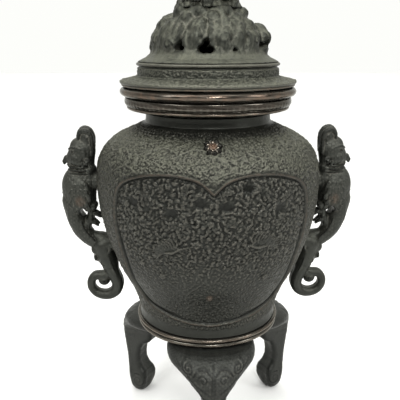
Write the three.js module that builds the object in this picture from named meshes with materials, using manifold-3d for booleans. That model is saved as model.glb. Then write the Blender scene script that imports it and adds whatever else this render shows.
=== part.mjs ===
// Incense burner: a bronze tripod jar with bird handles and a lift-off openwork lid.
// Millimetres, +Z up. The origin is on the ground under the middle of the jar, and the front faces -Y.

import * as THREE from 'three';
import { mergeVertices } from 'three/addons/utils/BufferGeometryUtils.js';
import Module from 'manifold-3d';

const wasm = await Module();
wasm.setup();

// ---- driving dimensions ----
const GAP = 0.3; // left between neighbouring castings
const SEGMENTS = 32; // round the jar
const WALL = 4; // jar wall

const FOOT_Z = 99; // underside of the jar's floor
const FLOOR = 5; // floor thickness
const CORE_HOLE_R = 36; // hole in the floor, closed by the base plate
const BEAD_R = 62.5; // outer radius of the bead round the foot
const BEAD_TOP_Z = 107;
const NECK_R = 51.3;
const NECK_TOP_Z = 284;
// Outside of the jar from waist to neck: radius, height.
const JAR_OUTLINE = [
  [60.2, 107.4], [59.9, 117], [66.3, 136], [78.1, 160], [88, 190], [92.1, 214], [92.1, 240],
  [86.8, 254.5], [76, 264.5], [60.5, 272], [51.8, 276.5],
];

const RIM_TOP_Z = 304.8;
const MOUTH_R = 44.5;
const LEDGE_Z = 298; // ledge just under the lid's collar
const LEDGE_R = 50.5; // counterbore that the lid's collar drops into

const LEG_AZIMUTH = { front: 0, left: -120, right: 120 }; // degrees round from the front, -Y
const LEG_RIVET_RADIUS = 47; // from the jar's axis
const RIVET_R = 3;

const CREST_Z = 266; // flower boss on the shoulder
const BIRD_LUG_Z = 226; // centre of the lug that joins each bird to the jar
const ARM_Z = 173; // centre of each bracket's arm
const SCROLL = { x: 91, z: 131.8, outer: 15.4, inner: 8.2 };

const LID_Z = RIM_TOP_Z + 0.5; // underside of the lid's flange
const BAND_TOP_Z = 323.7;
const DOME_TOP_Z = 364;
const PIERCINGS = 10; // openings round the dome
const PLINTH_R = 25; // rock under the lion

// ---- materials ----
const bronze = (color, roughness, metalness = 0.7) =>
  new THREE.MeshStandardMaterial({ color, roughness, metalness });
const COLOURS = {
  jar: 0x33322c,
  rim: 0x3a3029,
  leg: 0x2b2a27,
  handle: 0x2e2d2a,
  lid: 0x393832,
  lion: 0x34332e,
  rivet: 0x4a3a2c,
  copper: 0x8a4f33,
};

// ---- solids ----
const vec2 = ([x, y]) => new THREE.Vector2(x, y);

// A closed geometry as a solid that can be joined and cut.
function solid(geometry) {
  geometry.deleteAttribute('normal');
  geometry.deleteAttribute('uv');
  const merged = mergeVertices(geometry, 1e-4);
  return new wasm.Manifold(new wasm.Mesh({
    numProp: 3,
    vertProperties: merged.attributes.position.array,
    triVerts: new Uint32Array(merged.index.array),
  }));
}

// A joined or cut solid as a named mesh.
function mesh(name, made, material) {
  const result = made.getMesh();
  const geometry = new THREE.BufferGeometry();
  geometry.setAttribute('position', new THREE.BufferAttribute(result.vertProperties, 3));
  geometry.setIndex(new THREE.BufferAttribute(result.triVerts, 1));
  geometry.computeVertexNormals();
  const object = new THREE.Mesh(geometry, material);
  object.name = name;
  return object;
}

const union = (...solids) => solids.reduce((whole, next) => whole.add(next));

// A ring or dish turned about Z from an outline that runs anticlockwise in (radius, height).
function turned(outline, segments = SEGMENTS) {
  const points = outline.map(vec2);
  if (points[0].x > 0) points.push(points[0].clone());
  return solid(new THREE.LatheGeometry(points, segments).rotateX(Math.PI / 2));
}

// A round bar from a to b.
function bar(a, b, radius, sides = 12) {
  const from = new THREE.Vector3(...a);
  const to = new THREE.Vector3(...b);
  const geometry = new THREE.CylinderGeometry(radius, radius, from.distanceTo(to), sides);
  const turn = new THREE.Quaternion().setFromUnitVectors(
    new THREE.Vector3(0, 1, 0), to.clone().sub(from).normalize());
  geometry.applyQuaternion(turn);
  geometry.translate(...from.add(to).multiplyScalar(0.5));
  return solid(geometry);
}

function ball(centre, radii) {
  const geometry = new THREE.SphereGeometry(1, 12, 7).rotateX(Math.PI / 2);
  geometry.scale(...radii).translate(...centre);
  return solid(geometry);
}

// A plate cut to an outline in the XZ plane, of the given thickness about y.
function plate(shape, thickness, bevel = 0, y = 0, curveSegments = 8) {
  const geometry = new THREE.ExtrudeGeometry(shape, {
    depth: thickness - 2 * bevel,
    bevelEnabled: bevel > 0,
    bevelThickness: bevel,
    bevelSize: bevel,
    bevelOffset: -bevel,
    bevelSegments: 1,
    curveSegments,
  });
  geometry.translate(0, 0, bevel - thickness / 2).rotateX(Math.PI / 2).translate(0, y, 0);
  return solid(geometry);
}

// A closed smooth outline through points, anticlockwise.
function smooth(points, steps = 3) {
  const curve = new THREE.CatmullRomCurve3(
    points.map(([x, y]) => new THREE.Vector3(x, y, 0)), true, 'centripetal');
  return new THREE.Shape(curve.getPoints(points.length * steps).slice(0, -1)
    .map((p) => new THREE.Vector2(p.x, p.y)));
}

const polygon = (points) => new THREE.Shape(points.map(vec2));

// ---- jar ----
const jarCurve = new THREE.SplineCurve(JAR_OUTLINE.map(vec2));

// Points up the jar's outside moved inwards by a distance, square to its surface.
function jarWall(inset, steps) {
  return Array.from({ length: steps + 1 }, (_, i) => {
    const point = jarCurve.getPoint(i / steps);
    const along = jarCurve.getTangent(i / steps);
    return [point.x - along.y * inset, point.y + along.x * inset];
  });
}

// Radius of the jar's outside at a height.
function jarRadius(z) {
  const wall = jarWall(0, 80);
  const i = wall.findIndex((p) => p[1] > z);
  const [below, above] = [wall[i - 1], wall[i]];
  const share = (z - below[1]) / (above[1] - below[1]);
  return below[0] + share * (above[0] - below[0]);
}

// Everything inside the jar's outside plus a gap: cuts whatever is fastened to the jar.
const jarEnvelope = turned([
  [0, FOOT_Z], ...jarWall(-GAP, 15), [NECK_R + GAP, NECK_TOP_Z], [0, NECK_TOP_Z],
]);

const legDirection = (degrees) => {
  const a = THREE.MathUtils.degToRad(degrees);
  return [Math.sin(a), -Math.cos(a)];
};

function vesselBody() {
  const footR = BEAD_R - 5.9;
  const outline = [
    [CORE_HOLE_R, FOOT_Z], [footR, FOOT_Z], [footR, BEAD_TOP_Z + 0.2],
    ...jarWall(0, 15), [NECK_R, 281], [NECK_R, NECK_TOP_Z],
    [NECK_R - WALL, NECK_TOP_Z], [NECK_R - WALL, 275],
    ...jarWall(WALL, 10).slice(1, -1).reverse(),
    [footR - WALL, FOOT_Z + FLOOR], [CORE_HOLE_R, FOOT_Z + FLOOR],
  ];
  let body = turned(outline);
  const bore = RIVET_R + GAP;
  for (const side of [-1, 1]) {
    for (const z of [BIRD_LUG_Z, ARM_Z]) {
      body = body.subtract(bar([side * 60, 0, z], [side * 110, 0, z], bore));
    }
  }
  for (const degrees of Object.values(LEG_AZIMUTH)) {
    const [x, y] = legDirection(degrees).map((c) => c * LEG_RIVET_RADIUS);
    body = body.subtract(bar([x, y, FOOT_Z - 2], [x, y, FOOT_Z + FLOOR + 2], bore));
  }
  return body;
}

// Points on an arc about a centre, between two angles in degrees.
function arc([cx, cy], [rx, ry], from, to, steps) {
  return Array.from({ length: steps + 1 }, (_, i) => {
    const a = THREE.MathUtils.degToRad(from + (i / steps) * (to - from));
    return [cx + rx * Math.cos(a), cy + ry * Math.sin(a)];
  });
}

const baseBead = () => turned([
  [BEAD_R - 5.6, FOOT_Z + 0.2], [BEAD_R - 4, FOOT_Z + 0.2],
  ...arc([BEAD_R - 3.6, 103.1], [3.6, 3.7], -70, 70, 3), [BEAD_R - 5.6, BEAD_TOP_Z - 0.1],
]);

const basePlate = () => turned([
  [0, FOOT_Z + 0.5], [CORE_HOLE_R - GAP, FOOT_Z + 0.5], [CORE_HOLE_R - GAP, FOOT_Z + 3.5],
  [0, FOOT_Z + 3.5],
]);

function rimRing() {
  const bottom = NECK_TOP_Z + GAP;
  return turned([
    [MOUTH_R, bottom], [NECK_R, bottom], [57, 286.4], [64, 288],
    ...arc([64.5, 291.5], [3.5, 3.5], -60, 60, 3), [63.5, 296.3],
    ...arc([67.4, 301], [4.2, 3.7], -60, 60, 3), [67, RIM_TOP_Z],
    [LEDGE_R, RIM_TOP_Z], [LEDGE_R, LEDGE_Z], [MOUTH_R, LEDGE_Z],
  ]);
}

// A small flower boss on the front of the shoulder, leaning back with the wall.
function shoulderCrest() {
  const lean = THREE.MathUtils.degToRad(62);
  const sunk = 0.6;
  const petals = new THREE.Shape(Array.from({ length: 20 }, (_, i) => {
    const a = (i / 20) * 2 * Math.PI;
    const r = 5.4 + 1.1 * Math.cos(5 * a);
    return new THREE.Vector2(r * Math.sin(a), r * Math.cos(a));
  }));
  const geometry = new THREE.ExtrudeGeometry(petals, { depth: 3, bevelEnabled: false });
  geometry.translate(0, 0, -sunk).rotateX(Math.PI / 2 - lean);
  geometry.translate(0, -jarRadius(CREST_Z), CREST_Z);
  return solid(geometry).subtract(jarEnvelope);
}

// ---- legs ----
// Side outline of a leg: distance from the jar's axis, height. Knee outside, scroll foot inside.
const LEG_SIDE = [
  [40, 98.7], [44, 88], [56, 74], [67, 57], [76, 45], [79, 36], [77.5, 28], [71.5, 22], [69, 14],
  [70, 6], [73.5, 0], [81, 0], [86, 9], [88.5, 24], [90, 45], [90, 67], [87, 78], [80, 89],
  [72, 95], [62, 98.7],
];
// Half-width of a leg against height: a shield that tapers into the shank, then the foot.
const LEG_FRONT = [
  [34.5, 98.8], [31, 95], [25.5, 91], [16, 83.5], [10.5, 78], [8.6, 70], [8, 56], [8, 38], [8.6, 26],
  [11, 17], [11, 7], [8, -0.1],
];

function leg() {
  const front = [...LEG_FRONT, ...LEG_FRONT.map(([x, z]) => [-x, z]).reverse()];
  const side = plate(polygon(LEG_SIDE), 80).rotate([0, 0, -90]);
  const shield = plate(polygon(front), 80, 0, -60);
  const bore = bar(
    [0, -LEG_RIVET_RADIUS, FOOT_Z - 11], [0, -LEG_RIVET_RADIUS, FOOT_Z + 1], RIVET_R + GAP);
  return side.intersect(shield).subtract(bore);
}

function legRivet() {
  const at = (z) => [0, -LEG_RIVET_RADIUS, z];
  const top = FOOT_Z + FLOOR + GAP;
  return union(bar(at(FOOT_Z - 10.5), at(top + 1), RIVET_R), bar(at(top), at(top + 2.5), 5));
}

// ---- handles, drawn at +X ----
const BIRD_BODY = [
  [112, 238], [97, 238], [97.3, 226], [97.4, 214], [99, 206], [101, 196], [102.5, 184], [105.5, 178],
  [116, 179], [122.5, 194], [125.6, 210], [124.5, 224], [120, 233],
];
const BIRD_TAIL = [[103, 186], [101, 181.8], [110, 173.5], [119, 184], [121, 192], [106, 192]];
const BIRD_HEAD = [
  [96.2, 237], [95.6, 250], [96.5, 262], [99, 270], [106, 271], [109, 266], [113, 260], [116.5, 250],
  [122, 244.5], [121, 240.5], [113, 237],
];

function bird() {
  const body = plate(smooth(BIRD_BODY, 2), 26, 3);
  const tail = plate(smooth(BIRD_TAIL, 2), 13, 2);
  const head = plate(smooth(BIRD_HEAD, 2), 17, 2);
  const claws = plate(polygon([[94, 192], [104, 190], [104, 205], [95.4, 204]]), 12, 1);
  const lug = bar([80, 0, BIRD_LUG_Z], [106, 0, BIRD_LUG_Z], 8);
  const bore = bar([80, 0, BIRD_LUG_Z], [104, 0, BIRD_LUG_Z], RIVET_R + GAP);
  return union(body, tail, head, claws, lug).subtract(jarEnvelope).subtract(bore);
}

function bracket() {
  const { x, z, outer, inner } = SCROLL;
  const arm = plate(smooth([
    [76, 165], [76, 181], [88, 180.5], [97, 181], [103, 177], [104, 170], [100, 164], [101, 158],
    [97.5, 153.3], [93, 152], [91.5, 140], [79, 138], [78.5, 150], [84, 162],
  ], 2), 12, 2);
  const ring = new THREE.Shape();
  ring.absarc(x, z, outer, 0, 2 * Math.PI);
  const hole = new THREE.Path();
  hole.absarc(x, z, inner, 0, 2 * Math.PI, true);
  ring.holes.push(hole);
  const scroll = plate(ring, 11, 2, 0, 10);
  const eye = bar([x + 2.5, -5.5, z + 3.2], [x + 2.5, 5.5, z + 3.2], 4.6);
  const bore = bar([70, 0, ARM_Z], [98, 0, ARM_Z], RIVET_R + GAP);
  return union(arm, scroll, eye).subtract(jarEnvelope).subtract(bore);
}

// A rivet along X through the jar's wall, with its head inside the jar.
function wallRivet(z, headX, tipX) {
  return union(bar([headX, 0, z], [tipX, 0, z], RIVET_R), bar([headX, 0, z], [headX + 2.5, 0, z], 5));
}

// ---- lid ----
function lidBase() {
  const collarR = LEDGE_R - 0.5;
  const collarInnerR = 47.2;
  return turned([
    [collarInnerR, 300.8], [collarR, 300.8], [collarR, LID_Z], [69, LID_Z],
    ...arc([69, 307.6], [2.4, 2.3], -60, 60, 2), [60.5, 311.4], [57.2, 312.6], [56.4, 320.2],
    [58.4, 321], [58.4, 322.8], [56.5, BAND_TOP_Z], [51, BAND_TOP_Z], [51, 309], [collarInnerR, 307],
  ]);
}

function lidDome() {
  const z0 = BAND_TOP_Z + GAP;
  let dome = turned([
    [48.6, z0], [52.6, z0], [50.2, 330], [48, 337], [46.4, 346], [41.5, 353], [33.5, 358.5],
    [26.5, DOME_TOP_Z], [0, DOME_TOP_Z], [0, 359.6], [22, 359.6], [34, 354], [41, 347.5], [44.4, 338],
  ]);
  for (let i = 0; i < PIERCINGS; i += 1) {
    const a = ((i + 0.5) / PIERCINGS) * 2 * Math.PI;
    const low = i % 2 ? 335 : 339;
    const out = [Math.cos(a), Math.sin(a)];
    dome = dome.subtract(bar([30 * out[0], 30 * out[1], low], [60 * out[0], 60 * out[1], low], 5, 8));
  }
  return dome.subtract(bar([0, 0, 350], [0, 0, 370], RIVET_R + GAP));
}

// The lion sits on its haunches, faces the front and has one paw on a ball.
const LION_BASE_Z = DOME_TOP_Z + GAP;
const lionBall = { x: 13, y: -21, z: 377.3, r: 7.5 };

function lionBody() {
  const rock = turned([
    [0, LION_BASE_Z], [PLINTH_R, LION_BASE_Z], [PLINTH_R - 2, 369.4], [0, 369.4],
  ], 16);
  const haunches = ball([0, 8, 380], [22, 17, 15]);
  const chest = ball([0, -2, 393], [15, 14, 21]);
  const rightLeg = bar([8, -9, 392], [lionBall.x, lionBall.y + 1, 386.5], 5, 6);
  const leftLeg = bar([-8, -10, 392], [-10, -18, 368.5], 5, 6);
  const boreTop = 382;
  return union(rock, haunches, chest, rightLeg, leftLeg)
    .subtract(bar([0, 0, 360], [0, 0, boreTop], RIVET_R + GAP))
    .subtract(ball([lionBall.x, lionBall.y, lionBall.z], Array(3).fill(lionBall.r + GAP)))
    .subtract(lionHead(GAP)).subtract(lionTail(GAP));
}

// grow makes the same shape larger all round, to cut the seat that it is fixed in.
const lionHead = (grow = 0) => union(
  ball([0, -10, 417], [15 + grow, 13 + grow, 14 + grow]),
  ball([0, -21, 412], [9 + grow, 8 + grow, 7 + grow]));

const lionTail = (grow = 0) => plate(smooth([
  [-7, 390], [7, 390], [11 + grow, 402], [8 + grow, 416], [0, 425 + grow], [-8 - grow, 416],
  [-11 - grow, 402],
], 2), 9 + 2 * grow, 2, 26);

const finialStud = () => bar([0, 0, 351.5], [0, 0, 381], RIVET_R);
const washer = () => bar([0, 0, 357.6], [0, 0, 359.3], 9, 16).subtract(bar([0, 0, 350], [0, 0, 365], 3.3));
const nut = () => bar([0, 0, 352.8], [0, 0, 357.3], 6.5, 6).subtract(bar([0, 0, 350], [0, 0, 365], 3.3));

// ---- assembly ----
const burner = new THREE.Group();
const vessel = new THREE.Group();
vessel.add(
  mesh('vessel_body', vesselBody(), bronze(COLOURS.jar, 0.55)),
  mesh('base_bead', baseBead(), bronze(COLOURS.rim, 0.4)),
  mesh('base_plate', basePlate(), bronze(COLOURS.leg, 0.7)),
  mesh('rim_ring', rimRing(), bronze(COLOURS.rim, 0.35)),
  mesh('shoulder_crest', shoulderCrest(), bronze(COLOURS.copper, 0.4)),
);

for (const [name, degrees] of Object.entries(LEG_AZIMUTH)) {
  const group = new THREE.Group();
  group.rotation.z = THREE.MathUtils.degToRad(degrees);
  group.add(
    mesh(`leg_${name}`, leg(), bronze(COLOURS.leg, 0.5)),
    mesh(`leg_rivet_${name}`, legRivet(), bronze(COLOURS.rivet, 0.5)),
  );
  vessel.add(group);
}

for (const [name, turn] of [['right', 0], ['left', Math.PI]]) {
  const group = new THREE.Group();
  group.rotation.z = turn;
  group.add(
    mesh(`bird_${name}`, bird(), bronze(COLOURS.handle, 0.5)),
    mesh(`bracket_${name}`, bracket(), bronze(COLOURS.handle, 0.45)),
    mesh(`bird_rivet_${name}`, wallRivet(BIRD_LUG_Z, 83.5, 103.5), bronze(COLOURS.rivet, 0.5)),
    mesh(`bracket_rivet_${name}`, wallRivet(ARM_Z, 72, 97.5), bronze(COLOURS.rivet, 0.5)),
  );
  vessel.add(group);
}

const lid = new THREE.Group();
lid.add(
  mesh('lid_base', lidBase(), bronze(COLOURS.lid, 0.5)),
  mesh('lid_dome', lidDome(), bronze(COLOURS.lid, 0.5)),
  mesh('lion_body', lionBody(), bronze(COLOURS.lion, 0.5)),
  mesh('lion_head', lionHead(), bronze(COLOURS.lion, 0.5)),
  mesh('lion_tail', lionTail(), bronze(COLOURS.lion, 0.5)),
  mesh('lion_ball', ball(Object.values(lionBall).slice(0, 3), Array(3).fill(lionBall.r)),
    bronze(COLOURS.rivet, 0.4)),
  mesh('finial_stud', finialStud(), bronze(COLOURS.rivet, 0.5)),
  mesh('finial_washer', washer(), bronze(COLOURS.rivet, 0.5)),
  mesh('finial_nut', nut(), bronze(COLOURS.rivet, 0.5)),
);

burner.add(vessel, lid);

export default burner;
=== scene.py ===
from math import cos, degrees, pi, radians, sin, sqrt

import bpy
import numpy as np
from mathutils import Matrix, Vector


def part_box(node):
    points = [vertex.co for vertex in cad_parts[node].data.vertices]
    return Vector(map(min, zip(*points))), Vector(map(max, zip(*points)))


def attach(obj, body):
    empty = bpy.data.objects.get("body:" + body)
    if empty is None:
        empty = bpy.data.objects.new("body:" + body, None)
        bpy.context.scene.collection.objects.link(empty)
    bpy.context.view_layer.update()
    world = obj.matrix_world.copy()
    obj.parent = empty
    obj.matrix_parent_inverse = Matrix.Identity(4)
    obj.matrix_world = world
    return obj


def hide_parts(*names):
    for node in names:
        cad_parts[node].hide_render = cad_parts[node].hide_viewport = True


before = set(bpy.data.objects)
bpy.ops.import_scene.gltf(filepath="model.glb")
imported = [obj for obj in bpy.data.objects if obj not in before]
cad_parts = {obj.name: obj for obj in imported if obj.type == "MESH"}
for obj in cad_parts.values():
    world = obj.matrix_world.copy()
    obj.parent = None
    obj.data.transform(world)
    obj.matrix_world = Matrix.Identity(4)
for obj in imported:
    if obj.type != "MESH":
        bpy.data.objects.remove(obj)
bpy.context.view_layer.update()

import openvdb
from mathutils import Vector

# A bronze tripod incense burner. Shapes are worked out in millimetres in the CAD frame, with the front
# facing -Y, and are turned into metres when a piece is made.
MM = 0.001
RNG = np.random.default_rng(7)

# ---- driving sizes, in millimetres ----
FOOT_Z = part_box("vessel_body")[0][2] / MM  # underside of the jar
NECK_TOP_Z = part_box("vessel_body")[1][2] / MM
LEG_TOP_Z = 100.4
DOME_FOOT_Z = 323.75
DOME_TOP_Z = 366.5
LION_FOOT_Z = 364.35
JAR_OUTLINE = [
    (60.2, 107.4), (59.9, 117), (66.3, 136), (78.1, 160), (88, 190), (92.1, 214), (92.1, 240),
    (86.8, 254.5), (76, 264.5), (60.5, 272), (51.8, 276.5),
]
WALL = 4
NECK_RADIUS = 51.3
ROW_SPACING = 0.525  # between the jar's rows of points
SECTOR_COLUMNS = 231  # in a quarter of the jar
PANEL_RADIUS = 90  # the radius at which a panel's drawing is true to size


# ---- curves ----
def spline(points, steps):
    """Points on a smooth curve through the given ones, with so many steps between each two."""
    p = np.array(points, float)
    p = np.vstack([p[0], p, p[-1]])
    t = (np.arange(steps) / steps)[:, None]
    out = []
    for a, b, c, d in zip(p, p[1:], p[2:], p[3:]):
        v0, v1 = (c - a) / 2, (d - b) / 2
        out.append((2 * b - 2 * c + v0 + v1) * t**3 + (3 * c - 3 * b - 2 * v0 - v1) * t**2 + v0 * t + b)
    return np.vstack(out + [p[-2:-1]])


def unit(vector):
    vector = np.array(vector, float)
    return vector / np.linalg.norm(vector)


def tangents(curve):
    """Unit vectors along a curve at each of its points."""
    t = np.gradient(curve, axis=0)
    return t / np.linalg.norm(t, axis=1)[:, None]


def lengths_along(curve):
    """Distance from the curve's start to each of its points."""
    return np.concatenate([[0], np.cumsum(np.linalg.norm(np.diff(curve, axis=0), axis=1))])


def winding(turns, reach, shrink, count):
    """Radii and angles of a spiral that winds inwards and loses a share of its reach."""
    a = np.linspace(0, turns * 2 * pi, count)
    return reach * (1 - shrink * a / a[-1]), a


def spread_along(values, count):
    """As many values as asked for, changing evenly from each of the given ones to the next."""
    values = np.atleast_1d(values)
    return np.interp(np.linspace(0, 1, count), np.linspace(0, 1, len(values)), values)


def evenly(points, spacing):
    """The same polyline with its points at an even spacing."""
    p = np.array(points, float)
    along = lengths_along(p)
    at = np.linspace(0, along[-1], max(2, int(round(along[-1] / spacing)) + 1))
    return np.stack([np.interp(at, along, p[:, i]) for i in range(p.shape[1])], axis=1)


def bead(centre, radii, start, end, steps):
    """Points of a round moulding's outline, from one angle to another in degrees."""
    a = np.radians(np.linspace(start, end, steps))
    return list(zip(centre[0] + radii[0] * np.cos(a), centre[1] + radii[1] * np.sin(a)))


def smoothstep(low, high, value):
    t = np.clip((value - low) / (high - low), 0, 1)
    return t * t * (3 - 2 * t)


def outline_distance(x, y, outline, scale_x=1.0):
    """Distance to a closed outline at each point of a grid, negative inside. scale_x is the length of one
    unit of x, and may differ from row to row."""
    best = np.full(np.broadcast(x, y).shape, 1e9, np.float32)
    inside = np.zeros(best.shape, bool)
    for (ax, ay), (bx, by) in zip(outline, np.roll(outline, -1, axis=0)):
        px, py = (x - ax) * scale_x, y - ay
        ex, ey = (bx - ax) * scale_x, by - ay
        t = np.clip((px * ex + py * ey) / np.maximum(ex * ex + ey * ey, 1e-9), 0, 1)
        best = np.minimum(best, (px - t * ex) ** 2 + (py - t * ey) ** 2)
        if ay != by:
            crosses = (ay > y) != (by > y)
            inside ^= crosses & (x < ax + (y - ay) / (by - ay) * (bx - ax))
    return np.where(inside, -1, 1) * np.sqrt(best)


# ---- drawing relief on a flat sheet ----
class Sheet:
    """Heights in millimetres over a flat rectangle, raised by rounded marks."""

    def __init__(self, x0, x1, y0, y1, step):
        self.step = step
        self.x = np.arange(x0, x1 + step, step, dtype=np.float32)
        self.y = np.arange(y0, y1 + step, step, dtype=np.float32)
        self.h = np.zeros((len(self.y), len(self.x)), np.float32)

    def window(self, x0, x1, y0, y1):
        i = slice(*np.searchsorted(self.x, (x0, x1)))
        j = slice(*np.searchsorted(self.y, (y0, y1)))
        return (j, i), self.x[None, i], self.y[j, None]

    def put(self, cut, height):
        if self.h[cut].size:
            np.maximum(self.h[cut], height, out=self.h[cut])

    def stroke(self, points, widths, height, base=0.0):
        """A rounded ridge along points, of the given half-widths."""
        widths = spread_along(widths, len(points))
        for (a, b), (wa, wb) in zip(zip(points, points[1:]), zip(widths, widths[1:])):
            w = max(wa, wb)
            cut, x, y = self.window(
                min(a[0], b[0]) - w, max(a[0], b[0]) + w, min(a[1], b[1]) - w, max(a[1], b[1]) + w)
            ex, ey = b[0] - a[0], b[1] - a[1]
            t = np.clip(((x - a[0]) * ex + (y - a[1]) * ey) / max(ex * ex + ey * ey, 1e-9), 0, 1)
            d2 = (x - a[0] - t * ex) ** 2 + (y - a[1] - t * ey) ** 2
            r2 = (wa + (wb - wa) * t) ** 2
            inside = d2 < r2
            self.put(cut, np.where(inside, base + height * np.sqrt(np.maximum(1 - d2 / r2, 0)), 0))

    def leaf(self, x0, y0, angle, length, width, height, base=0.0):
        """A pointed leaf with a groove down its middle and side veins."""
        cut, x, y = self.window(x0 - length, x0 + length, y0 - length, y0 + length)
        c, s = cos(angle), sin(angle)
        u = ((x - x0) * c + (y - y0) * s) / length
        v = (-(x - x0) * s + (y - y0) * c) / width
        half = np.sqrt(np.clip(u * (1 - u) * 4, 0, 1)) * (1.25 - 0.5 * u)
        inside = (u > 0) & (u < 1) & (np.abs(v) < half)
        across = np.abs(v) / np.maximum(half, 1e-3)
        dome = np.sqrt(np.clip(1 - across**2, 0, 1)) * (0.55 + 0.45 * np.sin(np.clip(u, 0, 1) * np.pi))
        groove = 0.45 * np.exp(-((v / 0.13) ** 2))
        veins = 0.16 * (0.5 + 0.5 * np.cos(2 * np.pi * (u * 6 - across * 1.2)))
        self.put(cut, np.where(inside, base + height * np.clip(dome - groove - veins, 0.08, 1), 0))

    def blossom(self, x0, y0, radius, height, turn, base=0.0):
        """An open flower: five cupped petals round a beaded eye."""
        cut, x, y = self.window(x0 - radius, x0 + radius, y0 - radius, y0 + radius)
        r = np.hypot(x - x0, y - y0) / radius
        a = np.arctan2(y - y0, x - x0) + turn
        lobe = np.abs(np.cos(a * 5 / 2))
        edge = 0.68 + 0.32 * lobe**0.6
        rim = np.clip(1 - (r / edge) ** 6, 0, 1) * (0.45 + 0.55 * (r / edge) ** 1.5)
        seam = 1 - 0.55 * np.exp(-((lobe / 0.2) ** 2))
        eye = 1.05 * np.sqrt(np.clip(1 - (r / 0.24) ** 2, 0, 1))
        self.put(cut, np.where(r < edge, base + height * np.maximum(rim * seam, eye), 0))

    def spiral(self, x0, y0, radius, turns, width, height, start, hand):
        r, a = winding(turns, radius, 0.86, int(14 * turns) + 2)
        a = start + hand * a
        points = np.stack([x0 + r * np.cos(a), y0 + r * np.sin(a)], axis=1)
        self.stroke(points, (width, width * 0.75), height)

    def at(self, x, y):
        """Height at any points, between those of the sheet, and 0 off it."""
        i = np.clip((x - self.x[0]) / self.step, 0, len(self.x) - 1.001)
        j = np.clip((y - self.y[0]) / self.step, 0, len(self.y) - 1.001)
        i0, j0 = i.astype(int), j.astype(int)
        fi, fj = i - i0, j - j0
        h = self.h
        low = h[j0, i0] * (1 - fi) + h[j0, i0 + 1] * fi
        high = h[j0 + 1, i0] * (1 - fi) + h[j0 + 1, i0 + 1] * fi
        on = (x >= self.x[0]) & (x <= self.x[-1]) & (y >= self.y[0]) & (y <= self.y[-1])
        return np.where(on, low * (1 - fj) + high * fj, 0)


# ---- solids from distances on a grid ----
FAR = 4.0  # distances on a grid matter up to here
MARGIN = 1.5  # how far round a shape its distances are worked out


class Clay:
    """A solid shaped from distances on a grid of cubes."""

    def __init__(self, low, high, step):
        self.step = step
        self.low = np.array(low, np.float32)
        counts = np.ceil((np.array(high) - self.low) / step).astype(int) + 1
        self.axes = [(self.low[i] + step * np.arange(counts[i])).astype(np.float32) for i in range(3)]
        self.d = np.full(counts, FAR, np.float32)

    def window(self, low, high):
        cut = tuple(
            slice(max(int(np.searchsorted(a, lo)) - 1, 0), int(np.searchsorted(a, hi)) + 1)
            for a, lo, hi in zip(self.axes, low, high))
        x, y, z = (a[c] for a, c in zip(self.axes, cut))
        return cut, x[:, None, None], y[None, :, None], z[None, None, :]

    def join(self, cut, d, blend):
        old = self.d[cut]
        h = np.clip(0.5 + 0.5 * (old - d) / max(blend, 1e-3), 0, 1)
        self.d[cut] = old * (1 - h) + d * h - blend * h * (1 - h)

    def carve(self, cut, d, blend):
        old = self.d[cut]
        h = np.clip(0.5 - 0.5 * (old + d) / max(blend, 1e-3), 0, 1)
        self.d[cut] = old * (1 - h) - d * h + blend * h * (1 - h)

    def oval(self, centre, radii, blend=0.6, turn=None, cut=False):
        """An ellipsoid. turn is a rotation matrix whose rows are its own axes."""
        radii = np.broadcast_to(radii, 3).astype(float)
        spread = (radii if turn is None else radii.max()) + blend + MARGIN
        c = np.array(centre, float)
        window, x, y, z = self.window(c - spread, c + spread)
        p = (x - c[0], y - c[1], z - c[2])
        if turn is not None:
            p = tuple(row[0] * p[0] + row[1] * p[1] + row[2] * p[2] for row in turn)
        k0 = np.sqrt(sum((q / r) ** 2 for q, r in zip(p, radii)))
        k1 = np.sqrt(sum((q / r**2) ** 2 for q, r in zip(p, radii)))
        d = k0 * (k0 - 1) / np.maximum(k1, 1e-6)
        (self.carve if cut else self.join)(window, d, blend)

    def rod(self, points, radii, blend=0.6, flat=(1, 1, 1), cut=False):
        """A round bar along points, whose radius may change. flat squashes it along an axis."""
        points = np.array(points, float)
        radii = spread_along(radii, len(points))
        f = np.array(flat, float)
        for a, b, ra, rb in zip(points, points[1:], radii, radii[1:]):
            spread = max(ra, rb) * f + blend + MARGIN
            window, x, y, z = self.window(np.minimum(a, b) - spread, np.maximum(a, b) + spread)
            e = (b - a) / f
            px, py, pz = (x - a[0]) / f[0], (y - a[1]) / f[1], (z - a[2]) / f[2]
            t = np.clip((px * e[0] + py * e[1] + pz * e[2]) / max(float(e @ e), 1e-9), 0, 1)
            d = np.sqrt((px - t * e[0]) ** 2 + (py - t * e[1]) ** 2 + (pz - t * e[2]) ** 2)
            d = (d - (ra + (rb - ra) * t)) * f.min()
            (self.carve if cut else self.join)(window, d, blend)

    def everywhere(self):
        x, y, z = self.axes
        return x[:, None, None], y[None, :, None], z[None, None, :]

    def keep_under(self, d, blend=0.3):
        """Cuts away what lies outside a distance field."""
        h = np.clip(0.5 - 0.5 * (d - self.d) / blend, 0, 1)
        self.d = d * (1 - h) + self.d * h + blend * h * (1 - h)

    def surface(self):
        """Points and four-cornered faces of the solid's surface."""
        self.d[[0, -1]] = self.d[:, [0, -1]] = self.d[:, :, [0, -1]] = FAR
        grid = openvdb.FloatGrid(FAR)
        grid.copyFromArray(np.clip(self.d, -FAR, FAR))
        grid.transform = openvdb.createLinearTransform(self.step)
        points, quads = grid.convertToQuads(0.0)
        return points + self.low, quads[:, ::-1].astype(np.int32)


def turned_about_z(points, turn):
    a = radians(turn)
    c, s = cos(a), sin(a)
    return np.asarray(points) @ np.array([[c, s, 0], [-s, c, 0], [0, 0, 1]])


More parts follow.
